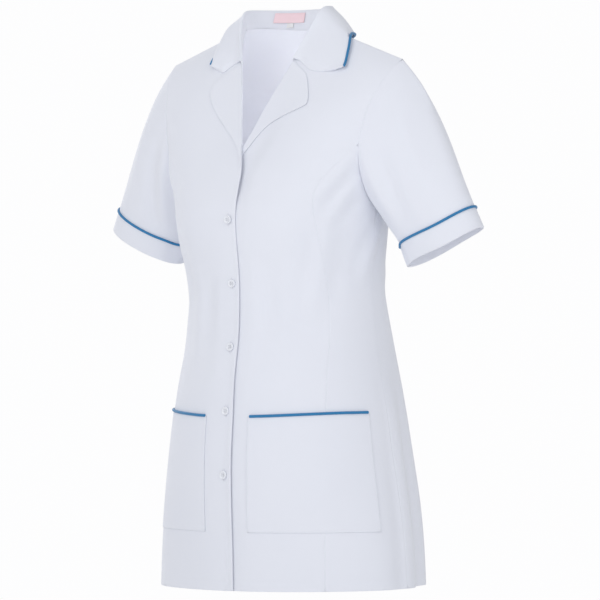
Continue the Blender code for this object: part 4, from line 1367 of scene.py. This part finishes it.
@dataclass
class Body:
    """The five panels of the body, with their cut sizes in metres and square metres."""

    front: tuple[float, float, float] = (0.170, 0.815, 0.121)
    side: tuple[float, float, float] = (0.128, 0.640, 0.057)
    back: tuple[float, float, float] = (0.560, 0.890, 0.360)

    def shape(self, room: Workroom) -> None:
        """Shape each panel.

        Args:
            room: where the pieces are kept.
        """
        for side in Side:
            room.shape(ClothPiece("front_" + side.word, self.front[:2], self.front[2], CLOTH))
            room.shape(ClothPiece("side_front_" + side.word, self.side[:2], self.side[2], CLOTH))
        room.shape(ClothPiece("back", self.back[:2], self.back[2], CLOTH))

    def sew(self, room: Workroom) -> None:
        """Close the princess, side and shoulder seams.

        Args:
            room: where the pieces are kept.
        """
        for side in Side:
            room.close(Seam("front_" + side.word, "side_front_" + side.word))
            room.close(Seam("side_front_" + side.word, "back"))
            room.close(Seam("front_" + side.word, "back"))
            room.close(Seam("front_" + side.word, "side_front_" + side.word, 5.0 * MM, 0.58,
                            (side.value * 0.154, -0.047, -0.160), 24 * MM))
            room.close(Seam("front_" + side.word, "back", 4.0 * MM, 0.58,
                            (side.value * SHOULDER_TIP[0], *SHOULDER_TIP[1:]), 20 * MM))
        room.lift("front_right", 1.7 * MM, 7 * MM, -0.20, -0.50)

    def trim(self, room: Workroom) -> None:
        """Topstitch the front edge and the hem."""
        Topstitch("front_right", 6.0 * MM, (0.0, -0.15, -0.70), (0.02, 0.0, -0.15)).sew(room)
        for node in room.cuts:
            if node in PANELS:
                Topstitch(node, 14.0 * MM, high=(1.0, 1.0, -0.735), row="hem").sew(room)


@dataclass
class Sleeves:
    """Sleeves with their cuff bands and the piping above them."""

    sleeve: tuple[float, float, float] = (0.480, 0.240, 0.056)
    cuff: tuple[float, float, float] = (0.330, 0.034, 0.0106)

    def shape(self, room: Workroom) -> None:
        """Shape both sides.

        Args:
            room: where the pieces are kept.
        """
        for side in Side:
            turned = {"centre": SLEEVE_CENTRE[side], "lean": SLEEVE_LEAN[side]}
            room.shape(ClothPiece("sleeve_" + side.word, self.sleeve[:2], self.sleeve[2], CLOTH, **turned))
            room.shape(ClothPiece("cuff_" + side.word, self.cuff[:2], self.cuff[2], CLOTH, **turned))

    def sew(self, room: Workroom) -> None:
        """Set the sleeves into the armholes.

        Args:
            room: where the pieces are kept.
        """
        for side in Side:
            joints = ((SHOULDER_TIP, "front_" + side.word), (SHOULDER_TIP, "back"),
                      (ARMHOLE_JOINT, "front_" + side.word), (ARMHOLE_JOINT, "side_front_" + side.word))
            for place, panel in joints:
                room.close(Seam("sleeve_" + side.word, panel, 4.0 * MM, 0.58,
                                (side.value * place[0], *place[1:]), 16 * MM))
            for panel in ("front_" + side.word, "side_front_" + side.word, "back"):
                room.close(Seam("sleeve_" + side.word, panel))
            room.close(Seam("sleeve_" + side.word, "cuff_" + side.word))

    def trim(self, room: Workroom) -> None:
        """Lay the piping above each cuff."""
        for side in Side:
            cord = Cord("cuff_piping_" + side.word, closed=True, lean=SLEEVE_LEAN[side],
                        lies_on=("sleeve_" + side.word, "cuff_" + side.word), proud=0.7 * MM)
            cord.lay(room, "cuff_cord_" + side.word)
            Topstitch("cuff_" + side.word, 1.6 * MM).sew(room)


# On the wearer's right the collar's edge turns under, so its piping hides there but for the very end
COLLAR_TUCKS = (
    Nudge((-0.1025, -0.018, -0.022), 0.013, (0.0045, 0.0040, -0.0040)),
)
# The left lapel's top edge meets the collar up to the notch
LAPEL_TOP = Nudge((0.0785, -0.060, -0.0570), 0.010, (0.0018, 0.0013, 0.0031))


@dataclass
class Collar:
    """Collar, revers and the piping along the collar's edge."""

    collar: tuple[float, float, float] = (0.450, 0.105, 0.0315)
    lapel: tuple[float, float, float] = (0.066, 0.195, 0.0056)

    def shape(self, room: Workroom) -> None:
        """Shape the collar and both revers.

        Args:
            room: where the pieces are kept.
        """
        room.shape(ClothPiece("collar", self.collar[:2], self.collar[2], CLOTH))
        for side in Side:
            room.shape(ClothPiece("lapel_" + side.word, self.lapel[:2], self.lapel[2], CLOTH,
                                  rests_on=("front_" + side.word,)))

    def sew(self, room: Workroom) -> None:
        """Set the collar on the neck and press the revers down.

        Args:
            room: where the pieces are kept.
        """
        for node in ("back", "front_left", "front_right"):
            room.close(Seam("collar", node, 4.2 * MM, 0.95))
        room.shift("lapel_left", LAPEL_TOP)
        for side in Side:
            room.press("lapel_" + side.word, ("front_" + side.word,), 0.62)
            room.close(Seam("collar", "lapel_" + side.word, 3.4 * MM, 0.85))
        room.close(Seam("lapel_left", "collar", 6.0 * MM, 0.8, (0.074, -0.060, -0.048), 14 * MM))

    def trim(self, room: Workroom) -> None:
        """Lay the piping along the collar's edge and topstitch the revers."""
        Cord("collar_piping", lies_on=("collar",), tucks=COLLAR_TUCKS).lay(room, "collar_cord")
        for side in Side:
            Topstitch("lapel_" + side.word, 3.0 * MM).sew(room)


@dataclass
class Pockets:
    """Patch pockets with piped tops."""

    size: tuple[float, float, float] = (0.190, 0.170, 0.0305)

    def shape(self, room: Workroom) -> None:
        """Shape both pockets.

        Args:
            room: where the pieces are kept.
        """
        for side in Side:
            room.shape(ClothPiece("pocket_" + side.word, self.size[:2], self.size[2], CLOTH,
                                  rests_on=("front_" + side.word, "side_front_" + side.word)))

    def sew(self, room: Workroom) -> None:
        """Press the pockets onto the panels.

        Args:
            room: where the pieces are kept.
        """
        for side in Side:
            room.press("pocket_" + side.word, ("front_" + side.word, "side_front_" + side.word), 0.55)

    def trim(self, room: Workroom) -> None:
        """Lay the piping on each top and topstitch the other edges."""
        for side in Side:
            cord = Cord("pocket_piping_" + side.word, by_angle=False, radius=1.95 * MM,
                        lies_on=("pocket_" + side.word,), proud=1.0 * MM)
            cord.lay(room, "pocket_cord_" + side.word)
            Topstitch("pocket_" + side.word, 2.6 * MM, high=(1.0, 1.0, -0.53)).sew(room)


@dataclass
class Buttons:
    """Four-hole buttons down the centre front, with their thread and their buttonholes."""

    count: int = 5
    segments: int = 48
    # Half profile from the middle of the back to the middle of the face: radius and height as shares
    profile: tuple[tuple[float, float], ...] = (
        (0.0, 0.0), (0.80, 0.0), (0.95, 0.14), (1.0, 0.42), (0.98, 0.74), (0.91, 0.95), (0.84, 1.0),
        (0.77, 0.95), (0.70, 0.78), (0.60, 0.70), (0.40, 0.68), (0.0, 0.68))
    hole: float = 0.13
    hole_out: float = 0.24
    hole_length: float = 17.0 * MM
    hole_width: float = 2.2 * MM
    bites: int = 44

    def blank(self) -> bpy.types.Mesh:
        """Turn a button of unit radius and unit height, and drill its holes.

        Returns:
            The button's mesh.
        """
        shape = bmesh.new()
        line = [shape.verts.new((r, 0.0, h)) for r, h in self.profile]
        edges = [shape.edges.new(pair) for pair in zip(line, line[1:])]
        bmesh.ops.spin(shape, geom=line + edges, cent=(0, 0, 0), axis=(0, 0, 1), angle=2 * math.pi,
                       steps=self.segments, use_merge=True)
        bmesh.ops.remove_doubles(shape, verts=shape.verts, dist=1e-5)
        bmesh.ops.recalc_face_normals(shape, faces=shape.faces)
        mesh = bpy.data.meshes.new("button")
        shape.to_mesh(mesh)
        shape.clear()
        for x, y in self.holes():
            place = Matrix.Translation((x, y, 0.5))
            bmesh.ops.create_cone(shape, cap_ends=True, segments=16, radius1=self.hole, radius2=self.hole,
                                  depth=3.0, matrix=place)
        drill_mesh = bpy.data.meshes.new("drill")
        shape.to_mesh(drill_mesh)
        shape.free()
        blank = add_object("button", mesh)
        drill = add_object("drill", drill_mesh)
        cut = blank.modifiers.new("holes", "BOOLEAN")
        cut.object = drill
        cut.operation = "DIFFERENCE"
        cut.solver = "EXACT"
        made = baked(blank).data
        bpy.data.batch_remove([blank, drill])
        return made

    def holes(self) -> list[tuple[float, float]]:
        """Places of the four holes, as shares of the radius."""
        return [(x * self.hole_out, y * self.hole_out) for x in (-1, 1) for y in (-1, 1)]

    def seat(self, node: str) -> Matrix:
        """Where a button lies, from its own solid.

        Args:
            node: name of the CAD node.

        Returns:
            The transform of a unit button, with its back on the cloth.
        """
        points = frame_points(node)
        middle = points.mean(axis=0)
        out = np.linalg.svd(points - middle)[2][2]
        out = -out if out[1] > 0 else out
        high = (points - middle) @ out
        side = np.cross([0.0, 0.0, 1.0], out)
        side /= np.linalg.norm(side)
        up = np.cross(out, side)
        radius = float(np.abs((points - middle) @ side).max())
        base = DRAPE.settle(np.array([middle + out * high.min()]))[0]
        columns = np.column_stack([side * radius, up * radius, out * (high.max() - high.min()), base])
        return Matrix([*columns.tolist(), [0, 0, 0, 1]])

    def trim(self, room: Workroom) -> None:
        """Set the buttons, sew them on and work the buttonholes.

        Args:
            room: where the panels are kept.
        """
        blank = self.blank()
        blank.materials.clear()
        blank.materials.append(BUTTON.material())
        threads = []
        worked = []
        for number in range(1, self.count + 1):
            node = f"button_{number}"
            seat = self.seat(node)
            mesh = blank.copy()
            mesh.transform(seat)
            for polygon in mesh.polygons:
                polygon.use_smooth = True
            mesh.set_sharp_from_angle(angle=math.radians(35))
            hand_over(add_object(node + "_shaped", mesh), Slot.BUTTON, node)
            out = self.hole_out
            for x in (-out, out):
                for aside in (-0.045, 0.045):
                    strand = [(x + aside, -out, 0.35), (x + aside, -out * 0.9, 0.8), (x + aside, 0.0, 0.92),
                              (x + aside, out * 0.9, 0.8), (x + aside, out, 0.35)]
                    threads.append(np.array([seat @ Vector(point) for point in strand]))
            worked.append(self.buttonhole(room, node))
        hand_over(room.cords.grow("button_threads", threads, False, 0.24 * MM, THREAD.material(), 0.3 * MM),
                  Slot.CLOTH)
        hand_over(room.cords.grow("buttonholes", worked, True, 0.17 * MM, THREAD.material(), 0.35 * MM),
                  Slot.CLOTH)

    def buttonhole(self, room: Workroom, node: str) -> np.ndarray:
        """Zigzag round one upright buttonhole.

        Args:
            room: where the panel is kept.
            node: button over the hole.

        Returns:
            The places of its thread on the folded cloth.
        """
        middle = frame_points(node).mean(axis=0)
        straight = self.hole_length - self.hole_width
        bend = math.pi * self.hole_width / 2
        half = straight + bend
        line = []
        for k in range(2 * self.bites):
            along, back = half * (k % self.bites) / self.bites, k >= self.bites
            turn = max(along - straight, 0.0) / bend * math.pi
            reach = self.hole_width / 2 * (1.0 if k % 2 else 0.4)
            place = np.array([reach * math.cos(turn), min(along, straight) - straight / 2 + reach * math.sin(turn)])
            place = -place if back else place
            line.append((middle[0] + place[0], middle[1], middle[2] + place[1]))
        return room.on_cloth("front_right", np.array(line), 0.15 * MM)


@dataclass
class Labels:
    """The bare woven label and the small tab under it; the label's cut counts both."""

    label: tuple[float, float, float] = (0.040, 0.0214, 0.00066)
    tab: tuple[float, float, float] = (0.0092, 0.0072, 0.000065)

    def shape(self, room: Workroom) -> None:
        """Shape both.

        Args:
            room: where the pieces are kept.
        """
        room.shape(ClothPiece("neck_label", self.label[:2], self.label[2], LABEL, Slot.LABEL,
                              ("collar",), ("size_tab",), levels=2))
        room.shape(ClothPiece("size_tab", self.tab[:2], self.tab[2], TAB, Slot.TAB, levels=2))

    def trim(self, room: Workroom) -> None:
        """Sew the label round its edge."""
        Topstitch("neck_label", 1.1 * MM).sew(room)


def main() -> None:
    """Build the garment and its studio in order."""
    room = Workroom()
    parts = (Body(), Sleeves(), Collar(), Pockets(), Buttons(), Labels())
    for step in ("shape", "sew", "trim"):
        for part in parts:
            if hasattr(part, step):
                getattr(part, step)(room)
                log.info("%s: %s", type(part).__name__, step)
    room.fold()
    room.hand_over()
    Studio().build()


if __name__ == "__main__":
    main()
